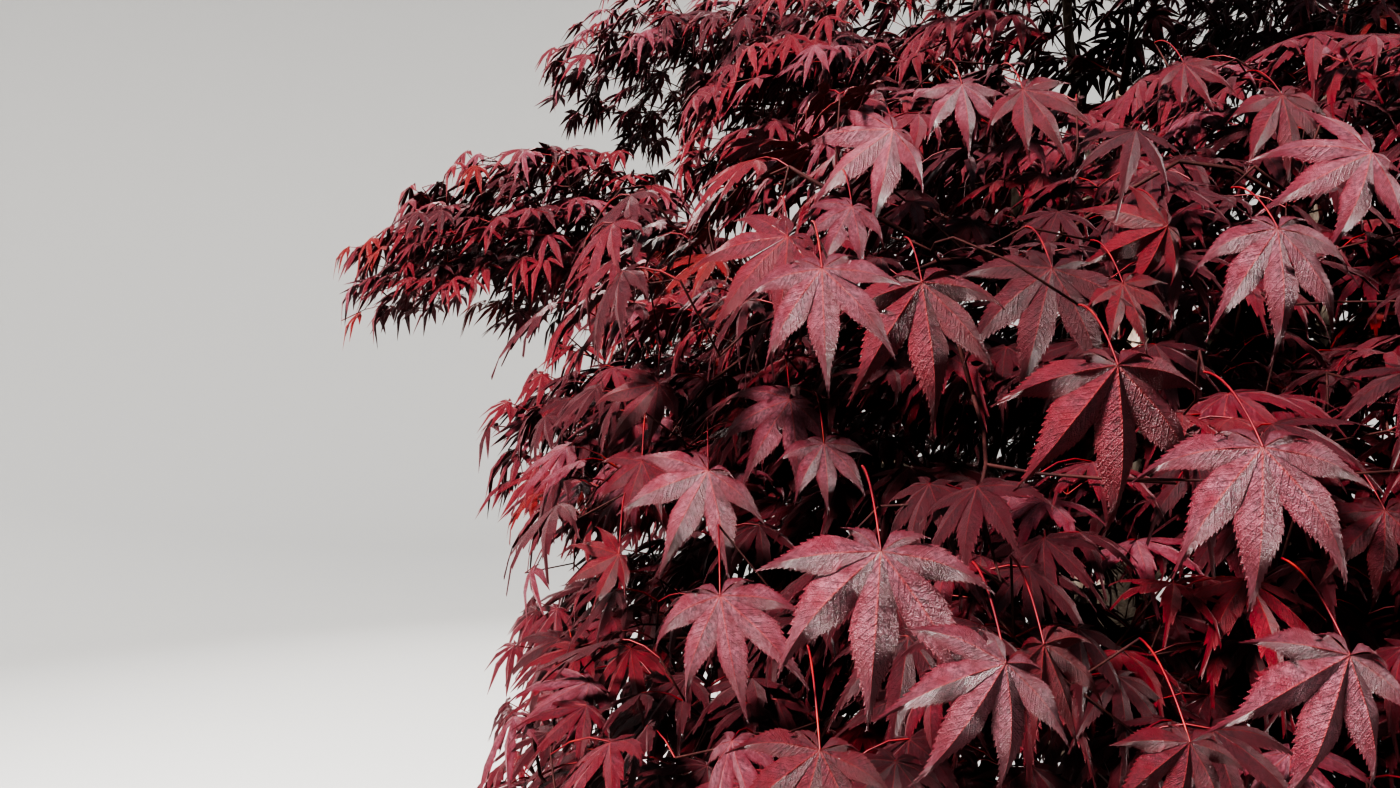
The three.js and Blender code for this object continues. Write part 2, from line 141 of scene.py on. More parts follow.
# Leaves and wood get plainer with distance from the camera: fine teeth, then coarse ones, then none
FINE_TO = 570
COARSE_TO = 1020
ROUND_TWIGS_TO = 1200
ROUND_STALKS_TO = 1000


def unit(vector):
    vector = np.asarray(vector, float)
    return vector / np.maximum(norm(vector, axis=-1, keepdims=True), 1e-9)


def part_way(a, b, share):
    """What lies a share of the way from a to b."""
    return a + (b - a) * share


def swung(x, y, angle):
    """Two numbers or axes, turned through an angle in their plane."""
    return x * cos(angle) - y * sin(angle), y * cos(angle) + x * sin(angle)


# Seeded places that fill a cube evenly, one after the other, and seeded chances between 0 and 1

# Powers of the number whose steps spread points most evenly in three dimensions
EVEN_STEPS = np.array([0.8191725134, 0.6710436067, 0.5497004779])


def even_place(n, seed):
    return (0.5 + seed * 0.137 * np.array([1, 2, 3]) + n * EVEN_STEPS) % 1


def chance(n, seed, kind):
    mixed = np.sin(np.asarray(n) * 12.9898 + seed * 78.233 + kind * 37.719) * 43758.5453
    return mixed - np.floor(mixed)


class Draws:
    """The chances of one thing. The kind tells its uses apart."""

    def __init__(self, n, seed):
        self.n = n
        self.seed = seed

    def share(self, kind):
        return float(chance(self.n, self.seed, kind))

    def between(self, kind, low, high):
        return part_way(low, high, self.share(kind))


# Meshes are gathered as arrays of corners and triangles, and joined into one piece for each kind.
class Batch:
    def __init__(self):
        self.corners = []
        self.triangles = []
        self.uvs = []
        self.slots = []
        self.count = 0

    def add(self, corners, triangles, uvs=None, slot=0):
        corners = np.asarray(corners, float).reshape(-1, 3)
        self.corners.append(corners)
        self.triangles.append(np.asarray(triangles).reshape(-1, 3) + self.count)
        self.uvs.append(np.zeros((len(corners), 2)) if uvs is None else uvs)
        self.slots.append(np.full(len(self.triangles[-1]), slot))
        self.count += len(corners)

    def build(self, name, materials, smooth=True, with_uvs=False):
        corners = np.concatenate(self.corners) * MM
        triangles = np.concatenate(self.triangles).astype(np.int32)
        mesh = bpy.data.meshes.new(name)
        mesh.vertices.add(len(corners))
        mesh.vertices.foreach_set("co", corners.ravel())
        mesh.loops.add(triangles.size)
        mesh.loops.foreach_set("vertex_index", triangles.ravel())
        mesh.polygons.add(len(triangles))
        mesh.polygons.foreach_set("loop_start", np.arange(len(triangles), dtype=np.int32) * 3)
        mesh.polygons.foreach_set("material_index", np.concatenate(self.slots).astype(np.int32))
        mesh.polygons.foreach_set("use_smooth", np.full(len(triangles), smooth))
        if with_uvs:
            layer = mesh.uv_layers.new(name="OFBake")
            layer.data.foreach_set("uv", np.concatenate(self.uvs)[triangles.ravel()].ravel())
        mesh.update(calc_edges=True)
        mesh.validate()
        for material in materials:
            mesh.materials.append(material)
        piece = bpy.data.objects.new(name, mesh)
        bpy.context.collection.objects.link(piece)
        return piece


def one_mesh(name, corners, triangles, material):
    batch = Batch()
    batch.add(corners, triangles)
    return batch.build(name, [material])


def around(sides):
    """The angles of a ring's corners."""
    return np.arange(sides) * 2 * pi / sides


def between_rings(rings, sides):
    """Triangles that join each ring of corners to the next."""
    ring = np.arange(rings - 1)[:, None] * sides
    j = np.arange(sides)[None]
    a, b = (ring + j).ravel(), (ring + (j + 1) % sides).ravel()
    return np.concatenate([np.stack([a, b, b + sides], 1), np.stack([a, b + sides, a + sides], 1)])


def turned(profile, sides):
    """Corners and triangles of a profile of (radius, height) turned round the axis."""
    radii, heights = np.array(profile, float).T[:, :, None]
    x, y = radii * np.cos(around(sides)), radii * np.sin(around(sides))
    corners = np.stack([x, y, np.repeat(heights, sides, 1)], axis=-1)
    return corners.reshape(-1, 3), between_rings(len(profile), sides)


# Curves, as rows of points

def bezier(a, b, c, d, steps=60):
    t = np.linspace(0, 1, steps + 1)[:, None]
    return (1 - t) ** 3 * a + 3 * (1 - t) ** 2 * t * b + 3 * (1 - t) * t * t * c + t**3 * d


def spline(points, steps=200):
    """A centripetal spline through the points, with the ends carried straight on."""
    points = [np.array(p, float) for p in points]
    ends = [2 * points[0] - points[1], *points, 2 * points[-1] - points[-2]]
    rows = []
    for t in np.linspace(0, len(points) - 1, steps + 1):
        i = min(int(t), len(points) - 2)
        w = t - i
        p0, p1, p2, p3 = ends[i : i + 4]
        d0, d1, d2 = (norm(b - a) ** 0.5 for a, b in ((p0, p1), (p1, p2), (p2, p3)))
        t1 = ((p1 - p0) / d0 - (p2 - p0) / (d0 + d1) + (p2 - p1) / d1) * d1
        t2 = ((p2 - p1) / d1 - (p3 - p1) / (d1 + d2) + (p3 - p2) / d2) * d1
        c2 = -3 * p1 + 3 * p2 - 2 * t1 - t2
        c3 = 2 * p1 - 2 * p2 + t1 + t2
        rows.append(p1 + t1 * w + c2 * w * w + c3 * w**3)
    return np.array(rows)


def lengths_along(curve):
    """How far along the curve each of its points lies."""
    return np.concatenate([[0], np.cumsum(norm(np.diff(curve, axis=0), axis=1))])


def at_shares(curve, shares):
    """The curve's points at shares of its length."""
    along = lengths_along(curve)
    return np.stack([np.interp(shares, along / along[-1], column) for column in curve.T], axis=-1)


def middle_of(curve, rings, share):
    """The middle of a solid tube, which is straight between its rings."""
    ring = min(int(share * rings), rings - 1)
    a, b = at_shares(curve, [ring / rings, (ring + 1) / rings])
    return part_way(a, b, share * rings - ring)


def tube(points, radii, sides, closed_end=True):
    """Corners and triangles of a tube. radii is one number a ring, or one for each corner of each ring."""
    points = np.asarray(points, float)
    ways = unit(np.gradient(points, axis=0))
    side = unit(np.cross(ways[0], [0.3, 0.2, 1.0] if abs(ways[0][2]) < 0.9 else [1.0, 0.1, 0]))
    axes = []
    for way in ways:
        side = unit(side - way * np.dot(side, way))
        axes.append((side, np.cross(way, side)))
    first, second = np.array(axes).transpose(1, 0, 2)[:, :, None]
    angles = around(sides)[:, None]
    out = first * np.cos(angles) + second * np.sin(angles)
    corners = points[:, None] + out * np.reshape(radii, (len(points), -1, 1))
    triangles = between_rings(len(points), sides)
    if closed_end:
        last = (len(points) - 1) * sides
        k = np.arange(1, sides - 1)
        end = np.stack([np.full(len(k), last), last + k, last + k + 1], 1)
        triangles = np.concatenate([triangles, end])
    return corners.reshape(-1, 3), triangles


# Limbs, as in the part's source

TRUNK_CURVE = spline(
    [
        (0, 0, TRUNK_FOOT),
        (0, 0, TRUNK_FOOT + TRUNK["height"] * 0.06),
        (-22, -16, TRUNK_FOOT + TRUNK["height"] * 0.34),
        (-8, -4, TRUNK_FOOT + TRUNK["height"] * 0.64),
        (14, 26, TRUNK_FOOT + TRUNK["height"]),
    ]
)


def trunk_flare(share):
    return TRUNK["flare"] * np.exp(-share * TRUNK["height"] / TRUNK["flare_height"])


def trunk_radius(share):
    return part_way(TRUNK["base"], TRUNK["top"], share) * (1 + trunk_flare(share))


class Mass:
    """A dome of foliage. Places in it are shares along its heading, aside of it and below its top."""

    def __init__(self, name, seed):
        (x, y, self.top), (self.along, self.across), self.droop, self.deep, bough = MASSES[name]
        self.parent, self.share = bough
        self.name = name
        self.seed = seed
        self.middle = np.array([x, y, 0.0])
        self.heading = unit([-0.3, -1, 0] if name == "crown_top" else [x, y, 0])
        self.aside = np.array([-self.heading[1], self.heading[0], 0])

    def place(self, along, aside, below):
        height = self.top - self.droop * (along * along + aside * aside) - self.deep * below
        spot = self.middle + self.heading * along * self.along + self.aside * aside * self.across
        return np.array([spot[0], spot[1], height])

    def level(self, spots):
        """How far out of the mass places lie: 0 at its heart, 1 at its skin."""
        offset = (np.asarray(spots) - self.middle) * [1, 1, 0]
        flat = (offset @ self.heading / self.along) ** 2 + (offset @ self.aside / self.across) ** 2
        heart = self.top - self.droop * flat - self.deep / 2
        upright = (np.asarray(spots)[..., 2] - heart) / (self.deep / 2)
        return (flat**2 + upright**4) ** 0.25

    def entry(self):
        return self.place(*ENTRY)

    def entry_way(self):
        return unit(self.heading + [0, 0, 0.3])


masses = [Mass(name, seed) for seed, name in enumerate(MASSES)]


def keeps_to(mass, spots, most):
    """Whether places are inside the mass and no other mass holds them more closely."""
    level = mass.level(spots)
    others = np.min([other.level(spots) for other in masses if other is not mass], axis=0)
    return (level <= most) & (others > level)


def bough_curve(mass, parent_curve):
    start = middle_of(parent_curve, TRUNK_RINGS if mass.parent == "trunk" else BOUGH_RINGS, mass.share)
    end = mass.entry()
    span = norm(end - start)
    near, far = at_shares(parent_curve, [mass.share - 0.01, mass.share + 0.01])
    leave = unit(unit(far - near) * 0.8 + unit((end - start) * [1, 1, 0]))
    arrive = mass.entry_way()
    return bezier(start, start + leave * span * BOUGH["leave"], end - arrive * span * BOUGH["arrive"], end)


def grow_limbs():
    """The curve and the radii at both ends of every limb, by name."""
    limbs = {"trunk": (TRUNK_CURVE, TRUNK["base"], TRUNK["top"])}
    waiting = list(masses)
    while waiting:
        mass = waiting.pop(0)
        if mass.parent not in limbs:
            waiting.append(mass)
            continue
        parent_curve, base, top = limbs[mass.parent]
        at_fork = trunk_radius(mass.share) if mass.parent == "trunk" else part_way(base, top, mass.share)
        root = max(at_fork * BOUGH["thick"], BOUGH["tip"] * BOUGH["least"])
        limbs[mass.name] = (bough_curve(mass, parent_curve), root, BOUGH["tip"])
    return limbs


limbs = grow_limbs()


# Materials

class Paint:
    """One material, with short ways to add and link its nodes."""

    def __init__(self, name, colour, roughness, specular):
        self.material = bpy.data.materials.new(name)
        self.material.use_nodes = True
        self.tree = self.material.node_tree
        self.shader = self.tree.nodes["Principled BSDF"]
        self.shader.inputs["Base Color"].default_value = (*colour, 1)
        self.shader.inputs["Roughness"].default_value = roughness
        self.shader.inputs["Specular IOR Level"].default_value = specular

    def new(self, kind, inputs=None, **settings):
        node = self.tree.nodes.new(kind)
        for key, value in settings.items():
            setattr(node, key, value)
        for key, value in (inputs or {}).items():
            self.feed(node.inputs[key], value)
        return node

    def feed(self, socket, value):
        if isinstance(value, bpy.types.NodeSocket):
            self.tree.links.new(value, socket)
        elif isinstance(value, tuple) and len(value) == 3 and len(socket.default_value) == 4:
            socket.default_value = (*value, 1)
        else:
            socket.default_value = value

    def spot(self):
        return self.new("ShaderNodeTexCoord").outputs["Object"]

    def stretched(self, vector, z_scale):
        return self.new("ShaderNodeMapping", {"Vector": vector, "Scale": (1.0, 1.0, z_scale)}).outputs[0]

    def math(self, operation, a, b=0.0, clamp=False):
        settings = {"operation": operation, "use_clamp": clamp}
        return self.new("ShaderNodeMath", {0: a, 1: b}, **settings).outputs[0]

    def times(self, a, b):
        return self.math("MULTIPLY", a, b)

    def minus(self, a, b, clamp=False):
        return self.math("SUBTRACT", a, b, clamp)

    def mix(self, share, a, b):
        return self.new("ShaderNodeMix", {0: share, 6: a, 7: b}, data_type="RGBA").outputs[2]

    def ramp(self, value, stops):
        node = self.new("ShaderNodeValToRGB", {0: value})
        elements = node.color_ramp.elements
        while len(elements) < len(stops):
            elements.new(0.5)
        for element, (position, colour) in zip(elements, stops):
            element.position = position
            element.color = (*colour, 1)
        return node.outputs[0]

    def rise(self, value, low, high, most=1):
        """0 where the value is below low, and most where it is above high."""
        return self.ramp(value, [(low, (0, 0, 0)), (high, (most, most, most))])

    def noise(self, vector, scale, detail, roughness=0.6):
        inputs = {"Vector": vector, "Scale": scale, "Detail": detail, "Roughness": roughness}
        return self.new("ShaderNodeTexNoise", inputs).outputs["Fac"]

    def colour(self, colour):
        self.feed(self.shader.inputs["Base Color"], colour)

    def relief(self, height, strength, distance):
        inputs = {"Height": height, "Strength": strength, "Distance": distance}
        self.feed(self.shader.inputs["Normal"], self.new("ShaderNodeBump", inputs).outputs["Normal"])


# The lobes of every leaf share one strip of the leaf's pattern. Across the strip runs the way from rib to
# margin, and along it the way from stalk to tip. The map holds several strips side by side, with the same
# ribs and other mottling.
STRIPS = (4, 2)
STRIP_ACROSS = 0.40  # from rib to margin, as a share of the strip's width
STRIP_ALONG = (0.02, 0.98)
RIB = {"width": 0.085, "taper": 0.05, "strength": 0.85}
VEINS = {"count": 19.0, "slant": 2.9, "width": 0.16, "fade": 0.75, "strength": 0.36, "relief": 0.42}
GRAIN_RELIEF = 1.5
MOTTLE_RELIEF = 0.9
# Roughness and specular level of a leaf, and of the leaves whose pale colour is a painted sheen
GLOSS = (0.41, 0.58)
SHEEN_GLOSS = (0.36, 0.72)


def brighter(colour, factor, more):
    return tuple(channel * factor + more for channel in colour)


def leaf_material(name, colour, rib, tip):
    roughness, specular = SHEEN_GLOSS if name == "painted_sheen" else GLOSS
    paint = Paint(f"leaf_{name}", colour, roughness, specular)
    uv = paint.new("ShaderNodeUVMap").outputs["UV"]
    parts = paint.new("ShaderNodeSeparateXYZ", {"Vector": uv})
    strip_x = paint.math("FRACT", paint.times(parts.outputs["X"], STRIPS[0]))
    along = paint.math("FRACT", paint.times(parts.outputs["Y"], STRIPS[1]))
    out = paint.times(paint.math("ABSOLUTE", paint.minus(strip_x, 0.5)), 2.0)
    # Ribs: one line down the middle, and side veins that leave it at a slant
    rib_width = paint.minus(RIB["width"], paint.times(along, RIB["taper"]))
    on_rib = paint.minus(1.0, paint.math("DIVIDE", out, rib_width), clamp=True)
    slant = paint.times(out, VEINS["slant"])
    slant = paint.minus(paint.times(along, VEINS["count"]), slant)
    wave = paint.math("ABSOLUTE", paint.minus(paint.math("FRACT", slant), 0.5))
    on_vein = paint.minus(1.0, paint.math("DIVIDE", wave, VEINS["width"]), clamp=True)
    fade = paint.minus(1.0, paint.times(out, VEINS["fade"]))
    on_vein = paint.times(on_vein, fade)
    # The blade: mottled and grained, with pale specks of the grain as painted glints, in patches of the
    # tip's colour, which also takes its margin and tip
    mottle = paint.noise(uv, 38.0, 5.0, 0.65)
    grain = paint.noise(uv, 150.0, 2.0, 0.7)
    patches = paint.noise(uv, 7.0, 2.0)
    body = paint.mix(paint.rise(mottle, 0.38, 0.62), brighter(colour, 0.32, 0), brighter(colour, 1.7, 0.005))
    # pale specks where the grain is high: painted glints
    body = paint.mix(paint.rise(grain, 0.52, 0.72, 0.6), body, brighter(colour, 2.2, 0.016))
    body = paint.mix(paint.rise(patches, 0.42, 0.64, 0.8), body, tip)
    at_margin = paint.times(paint.math("POWER", out, 2.2), 1.35)
    at_tip = paint.times(paint.math("POWER", along, 1.7), 0.85)
    body = paint.mix(paint.math("MAXIMUM", at_margin, at_tip, clamp=True), body, tip)
    body = paint.mix(paint.times(on_vein, VEINS["strength"]), body, brighter(tip, 0.45, 0))
    body = paint.mix(paint.times(on_rib, RIB["strength"]), body, rib)
    paint.colour(body)
    veins = paint.times(on_vein, VEINS["relief"])
    height = paint.math("ADD", veins, paint.times(grain, GRAIN_RELIEF))
    height = paint.math("ADD", height, paint.times(mottle, MOTTLE_RELIEF))
    paint.relief(height, 0.9, 0.0018)
    return paint.material


# Tints, as linear colours of the blade, its ribs and its tips. A spray of leaves has one tint.
TINTS = {
    "burgundy": ((0.076, 0.0095, 0.0180), (0.20, 0.018, 0.018), (0.105, 0.0028, 0.0082)),
    # the pale blade of this tint is a painted sheen, dealt to the nearest leaves and some of the front and
    # sunlit sprays
    "painted_sheen": ((0.128, 0.0420, 0.0580), (0.24, 0.030, 0.030), (0.112, 0.0070, 0.0160)),
    "wine": ((0.034, 0.0026, 0.0062), (0.13, 0.012, 0.014), (0.062, 0.0022, 0.0066)),
    "crimson": ((0.092, 0.0034, 0.0092), (0.22, 0.018, 0.015), (0.122, 0.0026, 0.0080)),
    "scarlet": ((0.106, 0.0036, 0.0034), (0.23, 0.026, 0.013), (0.138, 0.0030, 0.0034)),
}
TINT_NAMES = list(TINTS)
# How often each tint is dealt, in the order above: deep inside a mass, and in each part of the crown
TINT_SHARES = {
    # painted shade: deep inside a mass the dark wine tint is dealt most
    "inside": (0.22, 0.02, 0.69, 0.06, 0.01),
    "front": (0.38, 0.20, 0.32, 0.08, 0.02),
    # painted back-light: more bright crimson and scarlet in the sunlit masses
    "sunlit": (0.28, 0.18, 0.12, 0.34, 0.08),
    # painted shade: more of the dark wine tint in the shaded masses, and most in the high ones
    "shaded": (0.36, 0.06, 0.42, 0.13, 0.03),
    "high": (0.26, 0.02, 0.56, 0.13, 0.03),
}


def twig_material():
    """Young bark: dark red-brown in patches, with paler specks."""
    paint = Paint("twig_bark", (0.026, 0.0075, 0.0075), 0.7, 0.12)
    spot = paint.spot()
    patches = paint.noise(spot, 60.0, 3.0)
    specks = paint.noise(spot, 900.0, 2.0)
    colour = paint.ramp(patches, [(0.35, (0.018, 0.0050, 0.0055)), (0.65, (0.038, 0.0110, 0.0100))])
    paint.colour(paint.mix(paint.rise(specks, 0.62, 0.72, 0.5), colour, (0.11, 0.07, 0.055)))
    paint.relief(specks, 0.5, 0.0006)
    return paint.material


def stalk_material():
    paint = Paint("leaf_stalk", (0.100, 0.006, 0.009), 0.5, 0.25)
    dark, red, pale = (0.060, 0.0040, 0.0065), (0.105, 0.0062, 0.0085), (0.150, 0.0140, 0.0100)
    patches = paint.noise(paint.spot(), 45.0, 3.0)
    paint.colour(paint.ramp(patches, [(0.35, dark), (0.55, red), (0.7, pale)]))
    return paint.material


def bark_material():
    """Grey-brown bark, streaked along the limbs, with patches of lichen."""
    paint = Paint("bark", (0.2, 0.16, 0.13), 0.82, 0.3)
    spot = paint.spot()
    streaks = paint.noise(paint.stretched(spot, 0.16), 130.0, 6.0, 0.7)
    patches = paint.noise(spot, 22.0, 4.0)
    dark, brown, pale = (0.075, 0.055, 0.043), (0.2, 0.155, 0.125), (0.33, 0.28, 0.235)
    colour = paint.ramp(streaks, [(0.3, dark), (0.52, brown), (0.72, pale)])
    paint.colour(paint.mix(paint.rise(patches, 0.58, 0.7, 0.55), colour, (0.30, 0.31, 0.25)))
    paint.relief(streaks, 0.6, 0.003)
    return paint.material


def clay_material():
    """Unglazed clay with the rings of the wheel, specks and a bloom of lime, which is strongest low down."""
    paint = Paint("clay", (0.42, 0.17, 0.09), 0.85, 0.3)
    spot = paint.spot()
    height = paint.new("ShaderNodeSeparateXYZ", {"Vector": spot}).outputs["Z"]
    rings = paint.noise(paint.stretched(spot, 7.0), 9.0, 5.0)
    cloud = paint.noise(spot, 5.0, 5.0, 0.65)
    specks = paint.noise(spot, 260.0, 3.0)
    dark, warm, pale = (0.175, 0.078, 0.050), (0.235, 0.112, 0.074), (0.30, 0.158, 0.110)
    colour = paint.ramp(rings, [(0.3, dark), (0.55, warm), (0.75, pale)])
    bloom_height = 0.26
    low = paint.minus(1.0, paint.math("DIVIDE", height, bloom_height), clamp=True)
    bloom = paint.times(paint.rise(cloud, 0.42, 0.68), 0.55)
    bloom = paint.times(bloom, paint.math("ADD", low, 0.25))
    colour = paint.mix(bloom, colour, (0.50, 0.42, 0.35))
    paint.colour(paint.mix(paint.rise(specks, 0.6, 0.72, 0.3), colour, (0.2, 0.09, 0.05)))
    relief = paint.math("ADD", paint.times(rings, 0.6), paint.times(specks, 0.5))
    paint.relief(relief, 0.35, 0.002)
    return paint.material


def earth_material():
    paint = Paint("potting_mix", (0.035, 0.022, 0.015), 0.95, 0.2)
    grain = paint.noise(paint.spot(), 120.0, 5.0, 0.7)
    paint.colour(paint.ramp(grain, [(0.35, (0.014, 0.009, 0.006)), (0.7, (0.075, 0.047, 0.03))]))
    paint.relief(grain, 0.8, 0.006)
    return paint.material


def mulch_material():
    paint = Paint("mulch", (0.13, 0.065, 0.036), 0.9, 0.25)
    tone = paint.noise(paint.spot(), 26.0, 2.0)
    dark, brown, pale = (0.05, 0.025, 0.014), (0.14, 0.07, 0.038), (0.25, 0.14, 0.08)
    paint.colour(paint.ramp(tone, [(0.35, dark), (0.55, brown), (0.7, pale)]))
    return paint.material


leaf_materials = [leaf_material(name, *TINTS[name]) for name in TINT_NAMES]
bark = bark_material()
clay = clay_material()
twig_bark = twig_material()
stalk_red = stalk_material()


# The trunk and the boughs: smooth bark with shallow flutes and a collar where each bough leaves its parent

TRUNK_SIDES = 40
BOUGH_SIDES = 20
RING_SPACING = 11  # between the rings of a bough
COLLAR = {"swell": 0.28, "length": 34}
# Waves in the bark's radius: their height, how many go round, their turn in each millimetre and their phase
BARK_WAVES = ((0.022, 3, 0.021, 1), (0.016, 5, -0.034, 2), (0.012, 0, 0.11, 1), (0.012, 7, 0.012, 3))


def bark_relief(points, sides, seed):
    """Small swellings and flutes, as a radius factor for each corner of each ring."""
    along = lengths_along(points)[:, None]
    relief = 1
    for height, lobes, turn, phase in BARK_WAVES:
        relief = relief + height * np.sin(lobes * around(sides) + along * turn + seed * 1.7 * phase)
    return relief


def make_trunk():
    shares = np.concatenate([np.linspace(0, 0.12, 16)[:-1], np.linspace(0.12, 1, 70)])
    points = at_shares(TRUNK_CURVE, shares)
    ridges = np.cos(TRUNK["buttresses"] * around(TRUNK_SIDES) + 0.6 + pi)
    buttress = 1 + 0.24 * trunk_flare(shares)[:, None] * ridges
    radii = trunk_radius(shares)[:, None] * buttress * bark_relief(points, TRUNK_SIDES, 1)
    piece = one_mesh("trunk_bark", *tube(points, radii, TRUNK_SIDES), bark)
    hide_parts("trunk")
    return piece


def make_bough(mass):
    curve, root, tip = limbs[mass.name]
    length = lengths_along(curve)[-1]
    shares = np.linspace(0, 1, max(int(length / RING_SPACING), 20) + 1)
    points = at_shares(curve, shares)
    collar = 1 + COLLAR["swell"] * np.exp(-shares * length / COLLAR["length"])
    radii = (part_way(root, tip, shares) * collar)[:, None]
    radii = radii * bark_relief(points, BOUGH_SIDES, mass.seed + 3)
    piece = one_mesh(f"bark_{mass.name}", *tube(points, radii, BOUGH_SIDES), bark)
    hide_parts(f"bough_{mass.name}")
    return piece


# Leaves

# A leaf's lobes: angle from the middle one in degrees, and length as a share of the leaf's
LOBES = ((0, 1.0), (42, 0.92), (84, 0.70), (128, 0.27))
SMALL_LOBE = 0.4  # lobes shorter than this are plain or have few teeth
# Shares of a lobe's length, and half of its width there
WIDTH_PLACES = (0.20, 0.34, 0.44, 0.55, 0.65, 0.74, 0.82, 0.90, 1.0)
HALF_WIDTHS = (0.085, 0.128, 0.142, 0.116, 0.082, 0.048, 0.028, 0.014, 0.0)
PLAIN_STEPS = (0.36, 1.0)  # the margin's points on a lobe with no teeth
LOBE_BEND = 0.16
RIPPLE = 0.012
LONGEST_TOOTH = 0.08
TOOTH_TIP = 1.18  # how far out a tooth ends, where the margin is 1


class LeafShape:
    """One leaf of unit length in its own plane: corners, triangles and its place on the pattern's strips."""

    def __init__(self, seed, teeth, hang, slim, notch):
        self.draws = Draws(seed, 91)
        self.slim = slim
        self.notch = notch
        self.teeth = teeth
        self.corners = []
        self.triangles = []
        self.uvs = []
        self.cup = hang * self.draws.between(1, 0.65, 1.35)
        self.fold = self.draws.between(2, 0.30, 0.75)
        self.curl = self.draws.between(3, 0.2, 0.9)
        lobes = []
        for k, (angle, length) in enumerate(LOBES):
            for side in (-1, 1) if k else (1,):
                kind = k * 2 + side
                turn = self.draws.between(10 + kind, -4, 4) if k else 0
                lobes.append((side * (angle + turn), length * self.draws.between(20 + kind, 0.92, 1.07)))
        lobes.sort()
        for index in range(len(lobes)):
            for side in (-1, 1):
                self.half_lobe(lobes, index, side)
        self.corners = np.array(self.corners)
        self.triangles = np.array(self.triangles)
        self.uvs = np.array(self.uvs)

    def half_lobe(self, lobes, index, side):
        """From the rib of a lobe to its margin on one side."""
        angle, length = lobes[index]
        small = length < SMALL_LOBE
        rib = radians(angle)
        bend = LOBE_BEND * rib * self.draws.between(80 + index, 0.5, 1.5)
        hang = self.cup * self.draws.between(60 + index, 0.6, 1.4)
        wide = self.slim * self.draws.between(40 + index * 2 + side, 0.9, 1.1) * length**0.8
        strip = (index % STRIPS[0], index // STRIPS[0])

        def width_at(share):
            return float(np.interp(share, WIDTH_PLACES, HALF_WIDTHS)) * wide

        def add(share, out, out_share):
            along = length * share
            x, y = swung(along, out * side, rib - bend * share * share)
            sag = hang * hypot(x, y) ** 2 + self.fold * abs(out) * (0.7 + 0.5 * share)
            sag += self.curl * max(along - 0.55, 0) ** 2
            ripple = RIPPLE * sin(along * 16 + angle) * out_share
            self.corners.append((x, y, ripple - sag))
            across = 0.5 + STRIP_ACROSS * side * out_share
            up = part_way(*STRIP_ALONG, min(share, 1))
            self.uvs.append(((strip[0] + across) / STRIPS[0], (strip[1] + up) / STRIPS[1]))
            return len(self.corners) - 1

        half, reach = self.notch_beside(lobes, index, side)
        notch = reach * cos(half) / length
        stalk = add(0, 0, 0)
        rib_now = add(notch, 0, 0)
        edge_now = add(notch, reach * sin(half), 1)
        self.face(side, stalk, rib_now, edge_now)
        teeth = self.teeth // 3 if small else self.teeth
        plain = (1.0,) if small else PLAIN_STEPS
        shares = np.linspace(0, 1, teeth + 1)[1:] if teeth else plain
        previous = notch
        for step in notch + (1 - notch) * np.array(shares):
            rib_next = add(step, 0, 0)
            edge_next = rib_next if step > 0.999 else add(step, width_at(step), 1)
            if teeth:
                bite = min(step - previous, LONGEST_TOOTH)
                tooth_out = width_at(step - 0.5 * bite) + bite * length * (0.34 - 0.2 * step)
                self.face(side, edge_now, edge_next, add(step + 0.25 * bite, tooth_out, TOOTH_TIP))
            self.face(side, rib_now, rib_next, edge_next)
            self.face(side, rib_now, edge_next, edge_now)
            rib_now, edge_now, previous = rib_next, edge_next, step

    def notch_beside(self, lobes, index, side):
        """The notch beside a lobe: its angle from the lobe's rib, and its distance from the stalk."""
        angle, length = lobes[index]
        beside = index + side
        if not 0 <= beside < len(lobes):
            return 0.5, 0.4 * length
        half = abs(radians(lobes[beside][0]) - radians(angle)) / 2
        depth = self.notch * self.draws.between(100, 0.85, 1.20)
        return half, depth * min(length, lobes[beside][1]) ** 0.5

    def face(self, side, a, b, c):
        if len({a, b, c}) == 3:
            self.triangles.append((a, b, c) if side > 0 else (a, c, b))


VARIANTS = 9


def leaf_shapes(first_seed, teeth, hang, slim, notch):
    return [LeafShape(first_seed + n, teeth, hang, slim, notch) for n in range(VARIANTS)]


# The photo's nearest leaves, and those of the crown with fine teeth, with coarse teeth and with none
SHOWN = leaf_shapes(0, teeth=15, hang=0.26, slim=0.95, notch=0.32)
FINE = leaf_shapes(60, teeth=10, hang=0.40, slim=0.80, notch=0.27)
COARSE = leaf_shapes(20, teeth=4, hang=0.42, slim=0.71, notch=0.23)
PLAIN = leaf_shapes(40, teeth=0, hang=0.46, slim=0.78, notch=0.24)


def column(leaves, key):
    return np.array([leaf[key] for leaf in leaves])


def add_leaves(batch, shapes, leaves):
    """Copies of the shapes at the leaves' places."""
    by_kind = {}
    for leaf in leaves:
        by_kind.setdefault((leaf["variant"] % VARIANTS, leaf["tint"]), []).append(leaf)
    for (variant, tint), group in sorted(by_kind.items()):
        shape = shapes[variant]
        basis = np.stack([column(group, key) for key in ("ahead", "across", "face")], axis=1)
        corners = np.einsum("vc,kcd->kvd", shape.corners, basis) * column(group, "length")[:, None, None]
        corners += column(group, "place")[:, None]
        offsets = (np.arange(len(group)) * len(shape.corners))[:, None, None]
        triangles = (shape.triangles[None] + offsets).reshape(-1, 3)
        batch.add(corners.reshape(-1, 3), triangles, np.tile(shape.uvs, (len(group), 1)), tint)


def leaf_frame(heading, droop, roll):
    """The three axes of a leaf that points a level way, hangs below it and is rolled about its rib."""
    ahead = heading * cos(droop) - np.array([0, 0, sin(droop)])
    across = unit(np.cross([0, 0, 1.0], heading))
    face = np.cross(ahead, across)
    across = across * cos(roll) + face * sin(roll)
    return {"ahead": ahead, "across": across, "face": np.cross(ahead, across)}


# Camera geometry: where a place falls on the photo, and which place a pixel shows at a distance

